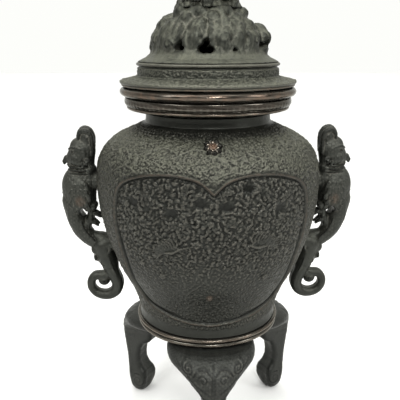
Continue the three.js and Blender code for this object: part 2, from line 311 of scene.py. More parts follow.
def solid_of_turning(clay, outline, wobble=0.0, flatten=1.0):
    """Distance on a clay's grid to a closed outline of (radius, z) turned about Z. wobble is added to the
    radius, and flatten above 1 makes it narrower in Y than in X."""
    x, y, z = clay.everywhere()
    r = np.arange(0, np.abs(clay.axes[0]).max() * 1.5 + 12, 0.5)
    table = outline_distance(r[:, None], z[0], np.asarray(outline, float)).astype(np.float32)
    rho = np.clip(np.hypot(x, y * flatten) - wobble, 0, r[-2]) / 0.5
    i = rho.astype(int)
    f = rho - i
    k = np.arange(table.shape[1])[None, None, :]
    return table[i, k] * (1 - f) + table[i + 1, k] * f


def billows(x, y, z, across, up):
    """Rounded lumps with sharp creases between them, 0 to about 1, of the given numbers of waves per mm."""
    total = 0
    for octave in range(3):
        k = 1.9**octave
        bend_a = 2.1 * np.sin(0.11 * k * y + 0.06 * k * z + octave)
        bend_b = 2.3 * np.sin(0.10 * k * x - 0.07 * k * z + 2 * octave)
        bend_c = 2.0 * np.sin(0.09 * k * x + 0.12 * k * y + 3 * octave)
        a = np.sin(pi * across * k * (x + 0.35 * y) + bend_a)
        b = np.sin(pi * across * k * (y - 0.35 * x) + bend_b)
        c = np.sin(pi * up * k * z + bend_c)
        total = total + 0.55**octave * np.abs(a + b + 0.8 * c) / 1.6
    return total / 1.7


def frame_along(direction, up=(0, 0, 1)):
    """Rows: along the direction, sideways, and the rest, as a turn for Clay.oval."""
    a = unit(direction)
    b = unit(np.cross(up, a))
    return np.array([a, b, np.cross(a, b)])


# ---- pieces ----
PROUD = 0.22  # millimetres by which a fully worn point stands out


def read(items, name, width, kind):
    """A property of a mesh's vertices or edges, one row to each."""
    values = np.empty(len(items) * width, kind)
    items.foreach_get(name, values)
    return values.reshape(-1, width)


def add_mark(mesh, name, value):
    mesh.attributes.new(name, "FLOAT", "POINT").data.foreach_set("value", value.astype(np.float32))


def wear_and_shade_marks(mesh):
    """Stores how far each point stands out of the surface round it, as the attributes high and low: high for
    rubbed wear, low for painted shade in the recesses.
    """
    n = len(mesh.vertices)
    co = read(mesh.vertices, "co", 3, np.float32)
    normal = read(mesh.vertices, "normal", 3, np.float32)
    a, b = read(mesh.edges, "vertices", 2, np.int32).T
    count = np.maximum(np.bincount(a, minlength=n) + np.bincount(b, minlength=n), 1)
    smooth = co.copy()
    for _ in range(8):
        total = np.stack([
            np.bincount(a, smooth[b, i], n) + np.bincount(b, smooth[a, i], n) for i in range(3)], axis=1)
        smooth = 0.3 * smooth + 0.7 * total / count[:, None]
    out = ((co - smooth) * normal).sum(axis=1) / MM
    # low is painted shade: the deeper a point sits below its surroundings, the darker its colour; high is
    # rubbed wear
    for name, value in (("high", out), ("low", -out)):
        add_mark(mesh, name, np.clip(value / PROUD, 0, 1))


def piece(name, points, faces, slot, replaces=(), body="vessel", normals=None, marks=None):
    """A smooth-shaded mesh from points in millimetres and groups of faces with equally many corners. It
    hides the frame's nodes that it replaces, and its slot says which bronze it is."""
    mesh = bpy.data.meshes.new(name)
    mesh.vertices.add(len(points))
    mesh.vertices.foreach_set("co", (np.asarray(points) * MM).astype(np.float32).ravel())
    loops, starts = [], []
    count = 0
    for group in faces if isinstance(faces, list) else [faces]:
        group = np.asarray(group, np.int32)
        loops.append(group.ravel())
        starts.append(count + np.arange(len(group)) * group.shape[1])
        count += group.size
    mesh.loops.add(count)
    mesh.loops.foreach_set("vertex_index", np.concatenate(loops))
    mesh.polygons.add(sum(len(s) for s in starts))
    mesh.polygons.foreach_set("loop_start", np.concatenate(starts).astype(np.int32))
    mesh.update(calc_edges=True)
    mesh.validate()
    mesh.shade_smooth()
    for key, value in (marks or {}).items():
        add_mark(mesh, key, value)
    if not marks or "high" not in marks:
        wear_and_shade_marks(mesh)
    if normals is not None:
        mesh.normals_split_custom_set_from_vertices(normals)
    mesh.materials.append(BRONZES[slot])
    obj = bpy.data.objects.new(name, mesh)
    bpy.context.scene.collection.objects.link(obj)
    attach(obj, body)
    if replaces:
        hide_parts(*replaces)
    return obj


def grid_faces(rows, columns, wrap_rows=False, wrap_columns=False):
    """Faces of a grid of points numbered row by row, facing out where rows rise and columns run
    anticlockwise seen from above."""
    i = np.arange(rows if wrap_rows else rows - 1)[:, None]
    j = np.arange(columns if wrap_columns else columns - 1)[None, :]
    i2, j2 = (i + 1) % rows, (j + 1) % columns
    quads = [i * columns + j, i * columns + j2, i2 * columns + j2, i2 * columns + j]
    return np.stack([np.broadcast_to(q, (i.size, j.size)) for q in quads], axis=-1).reshape(-1, 4)


def revolve(profile, height, start=0.0):
    """Points of a profile of (radius, z) turned about Z. Azimuth 0 is the front and grows towards +X.
    height, for each point and column, moves the surface out along its normal."""
    tangent = tangents(profile)
    r = profile[:, :1] + height * tangent[:, 1:]
    z = profile[:, 1:] - height * tangent[:, :1]
    a = np.radians(np.linspace(start, start + 360, height.shape[1], endpoint=False))
    return np.stack([r * np.sin(a), -r * np.cos(a), z], axis=-1).reshape(-1, 3)


# ---- materials ----
class Nodes:
    """Adds nodes to a material by short calls; inputs are values or other nodes' outputs."""

    def __init__(self, owner):
        self.tree = owner.node_tree

    def add(self, kind, inputs=(), out=0, **settings):
        node = self.tree.nodes.new(kind)
        for key, value in settings.items():
            setattr(node, key, value)
        for key, value in dict(inputs).items():
            if isinstance(value, bpy.types.NodeSocket):
                self.tree.links.new(value, node.inputs[key])
            else:
                node.inputs[key].default_value = value
        return node.outputs[out]

    def math(self, operation, a, b=0.0, clamp=False):
        return self.add("ShaderNodeMath", {0: a, 1: b}, operation=operation, use_clamp=clamp)

    def times(self, a, b, clamp=False):
        return self.math("MULTIPLY", a, b, clamp)

    def mix(self, amount, a, b):
        sockets = {"Factor": amount, 6: a, 7: b}
        return self.add("ShaderNodeMix", sockets, out=2, data_type="RGBA")

    def noise(self, where, scale, detail=3.0, roughness=0.6):
        return self.add("ShaderNodeTexNoise", {
            "Vector": where, "Scale": scale, "Detail": detail, "Roughness": roughness})

    def spread(self, value, low, high, to_low=0.0, to_high=1.0):
        """The value's range from low to high, stretched to run from to_low to to_high."""
        return self.add("ShaderNodeMapRange", {
            "Value": value, 1: low, 2: high, 3: to_low, 4: to_high})

    def mark(self, name):
        return self.add("ShaderNodeAttribute", out=2, attribute_name=name)


def opaque(colour, share=1.0):
    """A colour as a shader takes it, at a share of its brightness."""
    return tuple(share * c for c in colour) + (1,)


def bronze(name, skin, dust, worn, rough, dusting=0.5, wear=0.5, grain=0.5, metallic=0.6, hollow=0.6,
           special=None, quiet=None):
    """Patinated bronze: a mottled dark skin, painted shade that blackens the hollows as strongly as hollow
    says, dry greenish dust on whatever faces up, and metal rubbed bright on whatever stands proud. special
    names an attribute that marks copper-coloured work, and quiet one where there is no dust."""
    material = bpy.data.materials.new(name)
    material.use_nodes = True
    n = Nodes(material)
    shader = material.node_tree.nodes["Principled BSDF"]
    where = n.add("ShaderNodeTexCoord", out=3)
    patches = n.noise(where, 26.0, 4.0)
    mottle = n.noise(where, 170.0, 5.0, 0.65)
    speckle = n.noise(where, 900.0, 3.0, 0.7)
    facing = n.add("ShaderNodeNewGeometry", out=1)
    up = n.add("ShaderNodeSeparateXYZ", {0: facing}, out=2)

    colour = n.mix(n.spread(patches, 0.3, 0.7), opaque(skin, 0.55), opaque(skin))
    settled = n.times(n.spread(mottle, 0.3, 0.7, 0.3, 1.0), n.spread(up, -0.12, 0.8))
    settled = n.times(settled, n.spread(speckle, 0.3, 0.65, 0.45, 1.0))
    if quiet:
        settled = n.times(settled, n.spread(n.mark(quiet), 0.0, 1.0, 1.0, 0.12))
    settled = n.times(settled, dusting, clamp=True)
    colour = n.mix(settled, colour, opaque(dust))
    # painted shade: the low mark darkens the colour in recesses, as strongly as hollow says
    colour = n.mix(n.times(n.mark("low"), hollow, clamp=True), colour, opaque(skin, 0.22))
    rubbed = n.times(n.spread(speckle, 0.35, 0.6, 0.35, 1.0), n.math("POWER", n.mark("high"), 1.5))
    rubbed = n.times(rubbed, wear, clamp=True)
    colour = n.mix(rubbed, colour, opaque(worn))
    if special:
        worked = n.times(n.mark(special), n.spread(mottle, 0.36, 0.62, 0.1, 1.0), clamp=True)
        colour = n.mix(worked, colour, opaque(COPPER))
    roughness = n.spread(mottle, 0.3, 0.7, rough - 0.08, rough + 0.1)
    roughness = n.math("ADD", roughness, n.times(settled, 0.3))
    roughness = n.math("SUBTRACT", roughness, n.times(rubbed, 0.12), clamp=True)
    shader.inputs["Metallic"].default_value = metallic
    shader.inputs["Specular Tint"].default_value = (0.6, 0.6, 0.58, 1)
    n.tree.links.new(roughness, shader.inputs["Roughness"])
    n.tree.links.new(colour, shader.inputs["Base Color"])
    relief = n.math("ADD", n.times(n.noise(where, 1500.0, 2.0), 0.4), mottle)
    relief = n.math("ADD", n.times(n.noise(where, 620.0, 2.0), 0.5), relief)
    bump = n.add("ShaderNodeBump", {"Strength": grain, "Distance": 0.0005, "Height": relief})
    n.tree.links.new(bump, shader.inputs["Normal"])
    return material


# Colours, as linear light.
COPPER = (0.15, 0.092, 0.062)
RUBBED = (0.16, 0.15, 0.125)
DUST = (0.165, 0.168, 0.125)
BRONZES = {
    "jar_bronze": bronze(
        "jar_patina", (0.027, 0.028, 0.024), DUST, RUBBED, rough=0.32, dusting=0.95, wear=0.45, hollow=0.85,
        special="copper", quiet="panel"),
    "rim_bronze": bronze(
        "rim_patina", (0.038, 0.033, 0.028), (0.1, 0.1, 0.08), (0.2, 0.19, 0.16), rough=0.19, dusting=0.25,
        wear=0.5, grain=0.15, metallic=0.8, special="copper"),
    "leg_bronze": bronze(
        "leg_patina", (0.032, 0.033, 0.03), (0.11, 0.115, 0.1), RUBBED, rough=0.34, dusting=0.45, wear=0.5,
        grain=0.8, hollow=0.85),
    "handle_bronze": bronze(
        "handle_patina", (0.04, 0.042, 0.036), (0.12, 0.122, 0.1), RUBBED, rough=0.34, dusting=0.65,
        wear=0.6, grain=0.8, hollow=0.9, special="copper"),
    "lid_bronze": bronze(
        "lid_patina", (0.046, 0.049, 0.04), DUST, RUBBED, rough=0.38, dusting=0.95, wear=0.4, hollow=0.75,
        special="copper"),
    "copper": bronze(
        "crest_patina", (0.022, 0.021, 0.018), DUST, (0.5, 0.44, 0.36), rough=0.24, dusting=0.08, wear=1.0,
        hollow=0.9, metallic=0.8, special="copper"),
    "rivet_bronze": bronze("rivet_patina", (0.05, 0.045, 0.035), (0.1, 0.1, 0.08), COPPER, rough=0.45),
    "plate": bronze("plate_patina", (0.04, 0.04, 0.035), (0.09, 0.09, 0.075), RUBBED, rough=0.55),
}


# ---- camera, light and floor ----
LENS = 51.3  # on a 36 mm wide sensor
CAMERA_DISTANCE = 0.475  # from the jar's axis, level
CAMERA_HEIGHT = 0.34
LOOKS_DOWN = 15.6  # degrees
ROUND = -2.9  # degrees round from the jar's front, towards its left side
ASIDE = 0.78  # degrees that the camera points to the left of the axis
FLOOR_REACH = 20  # to each side and to the front
FLOOR_BACK = 6


def place_camera():
    data = bpy.data.cameras.new("camera")
    data.lens = LENS
    data.clip_start = 0.01
    camera = bpy.data.objects.new("camera", data)
    a = radians(ROUND)
    camera.location = (CAMERA_DISTANCE * sin(a), -CAMERA_DISTANCE * cos(a), CAMERA_HEIGHT)
    camera.rotation_euler = (radians(90 - LOOKS_DOWN), 0, a + radians(ASIDE))
    bpy.context.scene.collection.objects.link(camera)
    bpy.context.scene.camera = camera


def softbox(name, place, width, height, power, target=(0, 0, 0.22)):
    data = bpy.data.lights.new(name, "AREA")
    data.shape = "RECTANGLE"
    data.size, data.size_y = width, height
    data.energy = power
    lamp = bpy.data.objects.new(name, data)
    lamp.location = place
    lamp.rotation_euler = (Vector(target) - Vector(place)).to_track_quat("-Z", "Y").to_euler()
    bpy.context.scene.collection.objects.link(lamp)


def studio():
    """White walls behind and a pale ceiling, with the dimmer room on the front side."""
    scene = bpy.context.scene
    scene.view_settings.view_transform = "Standard"
    world = bpy.data.worlds.new("room")
    world.use_nodes = True
    n = Nodes(world)
    direction = n.add("ShaderNodeTexCoord", out=0)
    _, back, up = n.add("ShaderNodeSeparateXYZ", {0: direction}).node.outputs
    bright = n.math("MAXIMUM", n.spread(back, -0.15, 0.5), n.spread(up, 0.25, 0.85))
    background = world.node_tree.nodes["Background"]
    n.tree.links.new(n.spread(bright, 0.0, 1.0, 0.12, 1.0), background.inputs[1])
    background.inputs[0].default_value = (0.985, 0.99, 0.96, 1)
    scene.world = world
    softbox("window_left", (-1.0, -0.9, 1.2), 0.8, 0.6, 10.5)
    softbox("window_right", (1.2, -0.6, 0.9), 0.4, 0.8, 7)
    softbox("overhead", (0.0, -0.1, 1.6), 1.2, 1.2, 13)
    softbox("backdrop_light", (0.0, 4.4, 3.0), 9, 5, 80, target=(0, 4.4, 0))
    softbox("lamp", (0.16, -1.1, 0.95), 0.3, 0.12, 7, target=(0, 0, 0.28))

    mesh = bpy.data.meshes.new("floor")
    reach, back = FLOOR_REACH, FLOOR_BACK
    mesh.from_pydata([(-reach, -reach, 0), (reach, -reach, 0), (reach, back, 0), (-reach, back, 0)], [],
                     [(0, 1, 2, 3)])
    floor = bpy.data.objects.new("floor", mesh)
    scene.collection.objects.link(floor)
    material = bpy.data.materials.new("pale_floor")
    material.use_nodes = True
    shader = material.node_tree.nodes["Principled BSDF"]
    shader.inputs["Base Color"].default_value = (0.95, 0.95, 0.93, 1)
    shader.inputs["Roughness"].default_value = 0.9
    mesh.materials.append(material)


# ---- the jar ----
JAR_CURVE = spline(JAR_OUTLINE, 12)
PANEL = [
    (0, 236.2), (7.5, 245.6), (21, 248.8), (37, 245.2), (49.5, 234.5), (54, 211), (56.5, 172), (59, 147),
    (52.5, 131.5), (37, 124.8), (16, 120.3), (0, 118.8),
]  # right half of a panel's edge: degrees round from its middle, height
BACK = 180  # azimuth of the second panel
PANEL_DEPTH = 1.7  # of its ground below the wall
BEAD = 0.66  # half width of the raised line round it
BEAD_OUT = 0.2  # from the panel's edge to the middle of that line
PICTURE_TOP = 168  # along the wall
PICTURE_REACH = 84  # to each side of a panel's middle
# A panel's bare, deep spots: degrees round from its middle, height.
HOLLOWS = [(-6, 229.5), (6, 227), (-19, 221), (33, 222), (-40, 226), (16, 240)]


def half_turn(degrees_round):
    """The same direction, between -180 and 180 degrees."""
    return (degrees_round + 180) % 360 - 180


def jar_height_to_length(z):
    """Length along the jar's outside, from its foot, at a height."""
    return float(np.interp(z, JAR_CURVE[:, 1], lengths_along(JAR_CURVE)))


def panel_outline():
    """The panel's closed edge as (degrees, length along the jar's outside)."""
    right = np.vstack([spline(PANEL[:-1], 5), PANEL[-1:]])
    left = right[1:-1][::-1] * (-1, 1)
    outline = np.vstack([right, left])
    outline[:, 1] = [jar_height_to_length(z) for z in outline[:, 1]]
    return outline


def feathered_bird(sheet, x, y, size, hand, base, tilt=0.0):
    """A small bird in flight with raised wings and a long tail, facing left or right by hand."""
    c, s = cos(tilt), sin(tilt)

    def at(u, v):
        u, v = u * hand * size, v * size
        return (x + u * c - v * s, y + u * s + v * c)

    for i in range(6):
        fan = -0.5 + i * 0.2
        path = [at(-0.2, 0.05), at(-0.9, fan * 0.45), at(-1.7, -0.2 + fan * 1.1)]
        sheet.stroke(spline(path, 5), (0.10 * size, 0.06 * size), 1.1, base)
    for wing, lift in ((0.55, 1.0), (0.1, 0.72)):
        for i in range(7):
            a = radians(62 + 14 * i)
            length = (1.35 - 0.09 * i) * lift
            path = [at(wing - 0.1 * i, 0.12), at(wing - 0.1 * i + 0.6 * length * cos(a), 0.6 * length),
                    at(wing - 0.12 * i + length * cos(a + 0.35), length * sin(a) + 0.1)]
            sheet.stroke(spline(path, 5), (0.13 * size, 0.06 * size), 1.3, base)
    body = [
        ([(-0.35, 0), (0.25, 0.02), (0.62, 0.1)], (0.16, 0.27, 0.18), 2.0),
        ([(0.62, 0.1), (0.86, 0.24), (0.95, 0.3)], (0.15, 0.17, 0.13), 2.2),
        ([(1.02, 0.3), (1.3, 0.22)], (0.08, 0.03), 1.6),
        ([(0.84, 0.42), (0.62, 0.62), (0.4, 0.62)], (0.07, 0.06, 0.03), 1.6),
    ]  # trunk, neck and head, beak, crest
    for path, widths, height in body:
        sheet.stroke([at(*p) for p in path], np.array(widths) * size, height, base)


def panel_picture(sheet, middle):
    """Birds among flowering branches, drawn round x = middle. Heights are above the panel's ground."""
    def at(x, z):
        return (middle + x, jar_height_to_length(z))

    bare = [(middle + radians(a) * PANEL_RADIUS, jar_height_to_length(z)) for a, z in HOLLOWS]

    def is_bare(x, y):
        return any(abs(x - bx) < 4.6 and abs(y - by) < 3.6 for bx, by in bare)

    # A thicket of leaves in layers, deep and large above and small and shallow below.
    for base, gap in ((0.0, 2.8), (0.35, 3.3), (0.7, 4.5)):
        for y in np.arange(6, PICTURE_TOP, gap):
            for x in np.arange(middle - PICTURE_REACH, middle + PICTURE_REACH, gap):
                px, py = x + RNG.uniform(-0.45, 0.45) * gap, y + RNG.uniform(-0.45, 0.45) * gap
                high_up = float(smoothstep(50, 95, py))
                if is_bare(px, py) or RNG.uniform() > 0.75 - 0.25 * base:
                    continue
                length = RNG.uniform(1.8, 2.8) + high_up * RNG.uniform(0.2, 2.2)
                angle = RNG.uniform(0, 6.3)
                px, py = px - 0.5 * length * cos(angle), py - 0.5 * length * sin(angle)
                depth = 0.25 + 0.65 * high_up
                sheet.leaf(px, py, angle, length, length * RNG.uniform(0.2, 0.34),
                           RNG.uniform(0.6, 1.5) * depth + 0.1, base * depth)
    branches = [
        ([(-24, 150), (-4, 168), (2, 190), (-8, 210), (10, 236)], 2.4, 1.3),
        ([(-24, 150), (-44, 166), (-52, 186), (-66, 204)], 2.0, 0.9),
        ([(-4, 168), (22, 172), (40, 188), (62, 196), (70, 214)], 2.2, 0.9),
        ([(2, 190), (24, 204), (36, 224), (30, 238)], 1.7, 0.8),
        ([(-8, 210), (-32, 216), (-50, 232)], 1.7, 0.8),
    ]
    for path, thick, thin in branches:
        curve = spline([at(*p) for p in path], 8)
        knots = 1 + 0.2 * np.sin(np.arange(len(curve)) * 1.7)
        sheet.stroke(curve, 0.4 * np.linspace(thick, thin, len(curve)) * knots, 0.3, 0.05)
    flowers = [
        (10, 238, 5.5), (31, 239, 6), (-51, 234, 6.5), (-66, 206, 6), (70, 217, 5.5), (49, 164, 6),
        (-30, 212, 7), (22, 176, 5.5), (-44, 167, 6), (-2, 147, 4), (-12, 198, 5.5), (58, 232, 6),
        (-62, 176, 5), (-20, 241, 5.5), (14, 214, 6.5), (66, 184, 5), (-38, 240, 5), (46, 245, 4.5),
        (40, 210, 6), (-2, 214, 5),
    ]
    for x, z, radius in flowers:
        sheet.blossom(*at(x, z), 0.55 * radius, 1.0, turn=RNG.uniform(0, 6.3), base=0.6)
    for x, z, size, hand, tilt in ((38, 194, 12, -1, 0.1), (-34, 190, 11, 1, 0.15)):
        feathered_bird(sheet, *at(x, z), 0.8 * size, hand, 0.25, tilt)


def shoulder_scrolls(sheet):
    """Vines with leaves over a ground of small curling scrolls, close together."""
    low, high = jar_height_to_length(113), float(sheet.y[-1]) - 2
    for y in np.arange(low, high, 3.3):
        offset = RNG.uniform(0, 6)
        for x in np.arange(sheet.x[0] + offset, sheet.x[-1], 3.7):
            px, py = x + RNG.uniform(-0.8, 0.8), y + RNG.uniform(-0.7, 0.7)
            hand = 1 if RNG.uniform() < 0.5 else -1
            start = RNG.uniform(0, 6.3)
            sheet.spiral(px, py, RNG.uniform(1.3, 2.1), 0.9, 0.6, RNG.uniform(0.4, 0.85), start, hand)
    length = sheet.x[-1] - sheet.x[0]
    for turn in range(10):
        x0 = sheet.x[0] + (turn + 0.5) * length / 10
        for row, z in enumerate((262, 246, 216, 184, 150)):
            y = jar_height_to_length(z)
            side = 1 if (turn + row) % 2 else -1
            u = np.linspace(-1, 1, 13)
            vine = np.stack([x0 + 27 * u, y + side * 5.5 * np.sin(u * pi)], axis=1)
            sheet.stroke(vine, 0.8, 0.5, 0.3)
            for k in (2, 4, 7, 9, 11):
                angle = side * (0.9 if k % 2 else -0.8) + RNG.uniform(-0.4, 0.4)
                sheet.leaf(*vine[k], angle, RNG.uniform(5.5, 8), RNG.uniform(1.7, 2.5), 0.6, 0.35)
            sheet.blossom(x0, y, 4.2, 0.6, turn=RNG.uniform(0, 6), base=0.35)


def grain_of_sand(shape):
    """Random grain, two or three cells wide."""
    grain = RNG.normal(size=shape).astype(np.float32)
    for axis in (0, 1):
        grain = 0.5 * grain + 0.25 * (np.roll(grain, 1, axis) + np.roll(grain, -1, axis))
    return grain


def jar_relief(azimuth, along, z):
    """Height of the jar's decoration, how coppery it is, how free of dust (round the neck, where that stands
    for painted shade under the rim), and how much painted shade it gets.
    """
    x0, step = -pi / 2 * PANEL_RADIUS, 0.42
    top = jar_height_to_length(JAR_OUTLINE[-1][1])
    ground, picture = (Sheet(x0, x0 + 2 * pi * PANEL_RADIUS, 0, top, step) for _ in range(2))
    shoulder_scrolls(ground)
    for middle in (0, radians(BACK) * PANEL_RADIUS):
        panel_picture(picture, middle)
    for sheet, size in ((ground, 0.34), (picture, 0.3)):
        sheet.h += size * grain_of_sand(sheet.h.shape)

    radius = np.interp(z, JAR_CURVE[:, 1], JAR_CURVE[:, 0])
    x = np.radians((azimuth + 90) % 360 - 90) * PANEL_RADIUS
    x, y = np.broadcast_arrays(x, along)
    scrolls = ground.at(x, y)
    drawing = picture.at(x, y)

    outline = panel_outline()
    d = np.full(x.shape, 40.0, np.float32)
    for middle in (0, BACK):
        columns = np.abs(half_turn(azimuth[0] - middle)) < 68
        turned = half_turn(azimuth[:, columns] - middle)
        rows = (along[:, 0] > 4) & (along[:, 0] < 170)
        d[np.ix_(rows, columns)] = outline_distance(
            turned, along[rows], outline, radians(1) * radius[rows])
    on_wall = smoothstep(112.5, 118, z) * (1 - smoothstep(273.5, 276, z))
    outside = smoothstep(0.9, 2.0, d)
    h = scrolls * on_wall * outside - 0.2 * smoothstep(3.0, 2.2, d) * outside
    off_bead = np.abs(d - BEAD_OUT)
    bead = 0.8 * np.sqrt(np.clip(BEAD**2 - off_bead**2, 0, None)) + 0.1 * (off_bead < BEAD)
    inside = d < -0.7
    deep = smoothstep(-0.7, -1.5, d)
    low_down = 1 - smoothstep(180, 215, z)
    aside = smoothstep(20, 34, np.abs((azimuth + 90) % 180 - 90))
    margin = (5.6 * low_down + 0.4) * aside + 0 * d
    clear = smoothstep(-1.1, -2.2, d + margin)
    floor = -PANEL_DEPTH + 0.9 * low_down * aside * smoothstep(-2.4, -6.5, d)
    bare = np.zeros(x.shape, np.float32)
    for middle in (0, BACK):
        for turn, height in HOLLOWS:
            away = np.hypot((x - radians(middle + turn) * PANEL_RADIUS) / 5.6,
                            (y - jar_height_to_length(height)) / 4.2)
            bare = np.maximum(bare, smoothstep(1.2, 0.5, away + 0.25 * scrolls))
    h = np.where(inside, deep * (floor - 0.7 * bare + clear * (1 - bare) * drawing), h)
    h = np.where(off_bead < BEAD, np.maximum(h, bead), h)
    coppery = 0.22 * (bead > 0.2)
    spot = np.hypot(x + 2, y - jar_height_to_length(147))
    coppery = np.maximum(coppery, 0.3 * smoothstep(4.6, 1.6, spot))
    # Bands kept free of dust, so darker: round the neck this is painted shade under the rim; below the panel
    # the band is simply left darker.
    undusted_bands_and_neck_shade = np.maximum(smoothstep(268.5, 272.5, z), smoothstep(119, 116.5, z)) + 0 * d
    # painted shade along the groove by the bead and in the bare pits; it darkens the colour through the low
    # mark
    shade = np.exp(-((off_bead / 1.1) ** 2)) + 1.8 * bare * inside
    return h, coppery, np.maximum(smoothstep(1.4, 0.6, d), undusted_bands_and_neck_shade), shade


def make_jar():
    """The jar's wall and floor in four sectors, with the decoration on the outside."""
    foot_radius = JAR_OUTLINE[0][0] - 3.2
    outside = np.vstack([
        [(foot_radius, FOOT_Z), (foot_radius, JAR_OUTLINE[0][1])], JAR_CURVE,
        [(NECK_RADIUS, 280.5), (NECK_RADIUS, NECK_TOP_Z)]])
    outside = evenly(outside, ROW_SPACING)
    inner = [(p[0] - t[1] * WALL, p[1] + t[0] * WALL)
             for p, t in list(zip(JAR_CURVE, tangents(JAR_CURVE)))[10:-6:9]]
    floor_top = FOOT_Z + 5
    inside = [(NECK_RADIUS - WALL, NECK_TOP_Z), (NECK_RADIUS - WALL, 275)] + inner[::-1] + [
        (52.6, floor_top), (36, floor_top), (36, FOOT_Z)]
    outline = np.vstack([outside, inside])
    rows, columns = len(outline), SECTOR_COLUMNS
    count = 4 * columns

    azimuth = (np.linspace(0, 360, count, endpoint=False) - 45)[None, :]
    along = lengths_along(outside)
    along = along - np.interp(JAR_OUTLINE[0][1] + 0.01, outside[:, 1], along)
    height, copper, panel, shade = np.zeros((4, rows, count), np.float32)
    n = len(outside)
    height[:n], copper[:n], panel[:n], shade[:n] = jar_relief(azimuth, along[:, None], outside[:, 1:])
    points = revolve(outline, height, azimuth[0, 0])
    grid = points.reshape(rows, count, 3)
    across = np.roll(grid, -1, 1) - np.roll(grid, 1, 1)
    up = np.roll(grid, -1, 0) - np.roll(grid, 1, 0)
    normal = np.cross(across, up)
    normal /= np.linalg.norm(normal, axis=2)[..., None] + 1e-12
    blurred = height
    for _ in range(12):
        blurred = 0.2 * (blurred + np.roll(blurred, 1, 0) + np.roll(blurred, -1, 0)
                         + np.roll(blurred, 1, 1) + np.roll(blurred, -1, 1))
    stands_out = (height - blurred) / 0.35

    pick = np.arange(columns + 1)
    faces = grid_faces(rows, columns + 1, wrap_rows=True)
    seam = np.arange(rows) * (columns + 1)
    caps = np.stack([seam[::-1], seam + columns])
    for i, side in enumerate(("front", "right", "back", "left")):
        own = (pick + i * columns) % count
        marks = {
            "high": (np.clip(stands_out, 0, 1) * np.clip(1 - 0.85 * shade, 0, 1))[:, own].ravel(),
            # low darkens the colour: painted shade in the recesses, along the bead's groove and in the bare
            # pits
            "low": np.clip(0.35 * shade - stands_out, 0, 1)[:, own].ravel(),
            "copper": copper[:, own].ravel(),
            # panel marks where no dust settles; round the neck that stands for painted shade under the rim
            "panel": panel[:, own].ravel(),
        }
        replaced = ("vessel_body",) if i == 0 else ()
        piece("jar_" + side, grid[:, own].reshape(-1, 3), [faces, caps], "jar_bronze", replaced,
              normals=normal[:, own].reshape(-1, 3), marks=marks)


# ---- mouldings ----
def moulding(outline, spacing):
    """A closed outline of (radius, z), smoothly sampled but with its corners kept."""
    outline = np.array(outline, float)
    out = []
    for a, b in zip(outline, np.roll(outline, -1, axis=0)):
        steps = max(1, int(round(np.linalg.norm(b - a) / spacing)))
        out += [a + (b - a) * i / steps for i in range(steps)]
    return np.array(out)


def turned_piece(name, outline, columns, spacing, slot, replaced, shapes, coppery, body="vessel"):
    """A moulding turned right round. shapes(azimuth, r, z) raises it, coppery(r, z) marks bare copper."""
    profile = moulding(outline, spacing)
    r, z = profile[:, :1], profile[:, 1:]
    azimuth = np.linspace(0, 360, columns, endpoint=False)[None, :]
    height = shapes(azimuth, r, z) + np.zeros((len(profile), columns))
    points = revolve(profile, height)
    faces = grid_faces(len(profile), columns, wrap_rows=True, wrap_columns=True)
    copper = (coppery(r, z) + np.zeros_like(height)).ravel()
    piece(name, points, faces, slot, (replaced,), body, marks={"copper": copper})


def waves(azimuth, count, phase=0.0):
    return np.sin(np.radians(azimuth * count + phase))


def uneven(azimuth, r, z, size=0.12):
    """The slight unevenness of hand-finished casting."""
    return size * (waves(azimuth, 5, 40 * z) * 0.5 + waves(azimuth, 13, 90 * z + 30) * 0.3
                   + waves(azimuth, 31, 150 * z) * 0.2)


def make_rings():
    turned_piece(
        "base_moulding",
        [(56.9, 99.2), (58.6, 99.2)] + bead((60.1, 101.1), (1.9, 1.8), -80, 75, 9)
        + [(60.3, 102.9), (60.3, 103.4)] + bead((60.6, 105.2), (2.0, 1.7), -75, 80, 9)
        + [(58.5, 106.95), (56.9, 106.9)],
        480, 0.6, "rim_bronze", "base_bead", uneven, lambda r, z: 0.35 * smoothstep(61.5, 62.3, r))

    def rim_shape(azimuth, r, z):
        band = smoothstep(289.4, 290.2, z) * (1 - smoothstep(294.2, 295, z)) * (r > 60)
        fret = np.maximum(waves(azimuth, 90, 0), 0) * np.abs(np.sin((z - 289.6) * 2.2))
        return uneven(azimuth, r, z, 0.15) + band * 0.28 * fret

    turned_piece(
        "mouth_ring",
        [(44.5, 284.3), (NECK_RADIUS, 284.3), (54, 284.9), (58.5, 286.4), (63, 287.2)]
        + bead((64.9, 288.4), (1.6, 1.3), -80, 70, 8) + [(66.6, 290), (67.9, 292), (68, 294.6)]
        + bead((66.6, 295.2), (1.4, 1.3), 0, 80, 5) + [(65.6, 296.6), (65.3, 297.2), (65.8, 297.9)]
        + bead((67.6, 301.1), (4.1, 3.5), -75, 78, 18) + [(67, 304.8), (66, 304.9), (50.5, 304.8),
                                                         (50.5, 298), (44.5, 298)],
        480, 0.65, "rim_bronze", "rim_ring", rim_shape,
        lambda r, z: 0.5 * smoothstep(70.2, 71.2, r) + 0.45 * smoothstep(66.0, 66.4, r) * (z < 289.4)
        + 0.1 * smoothstep(67.4, 68, r) * (z < 297))


LID_BAND_RADIUS = 57


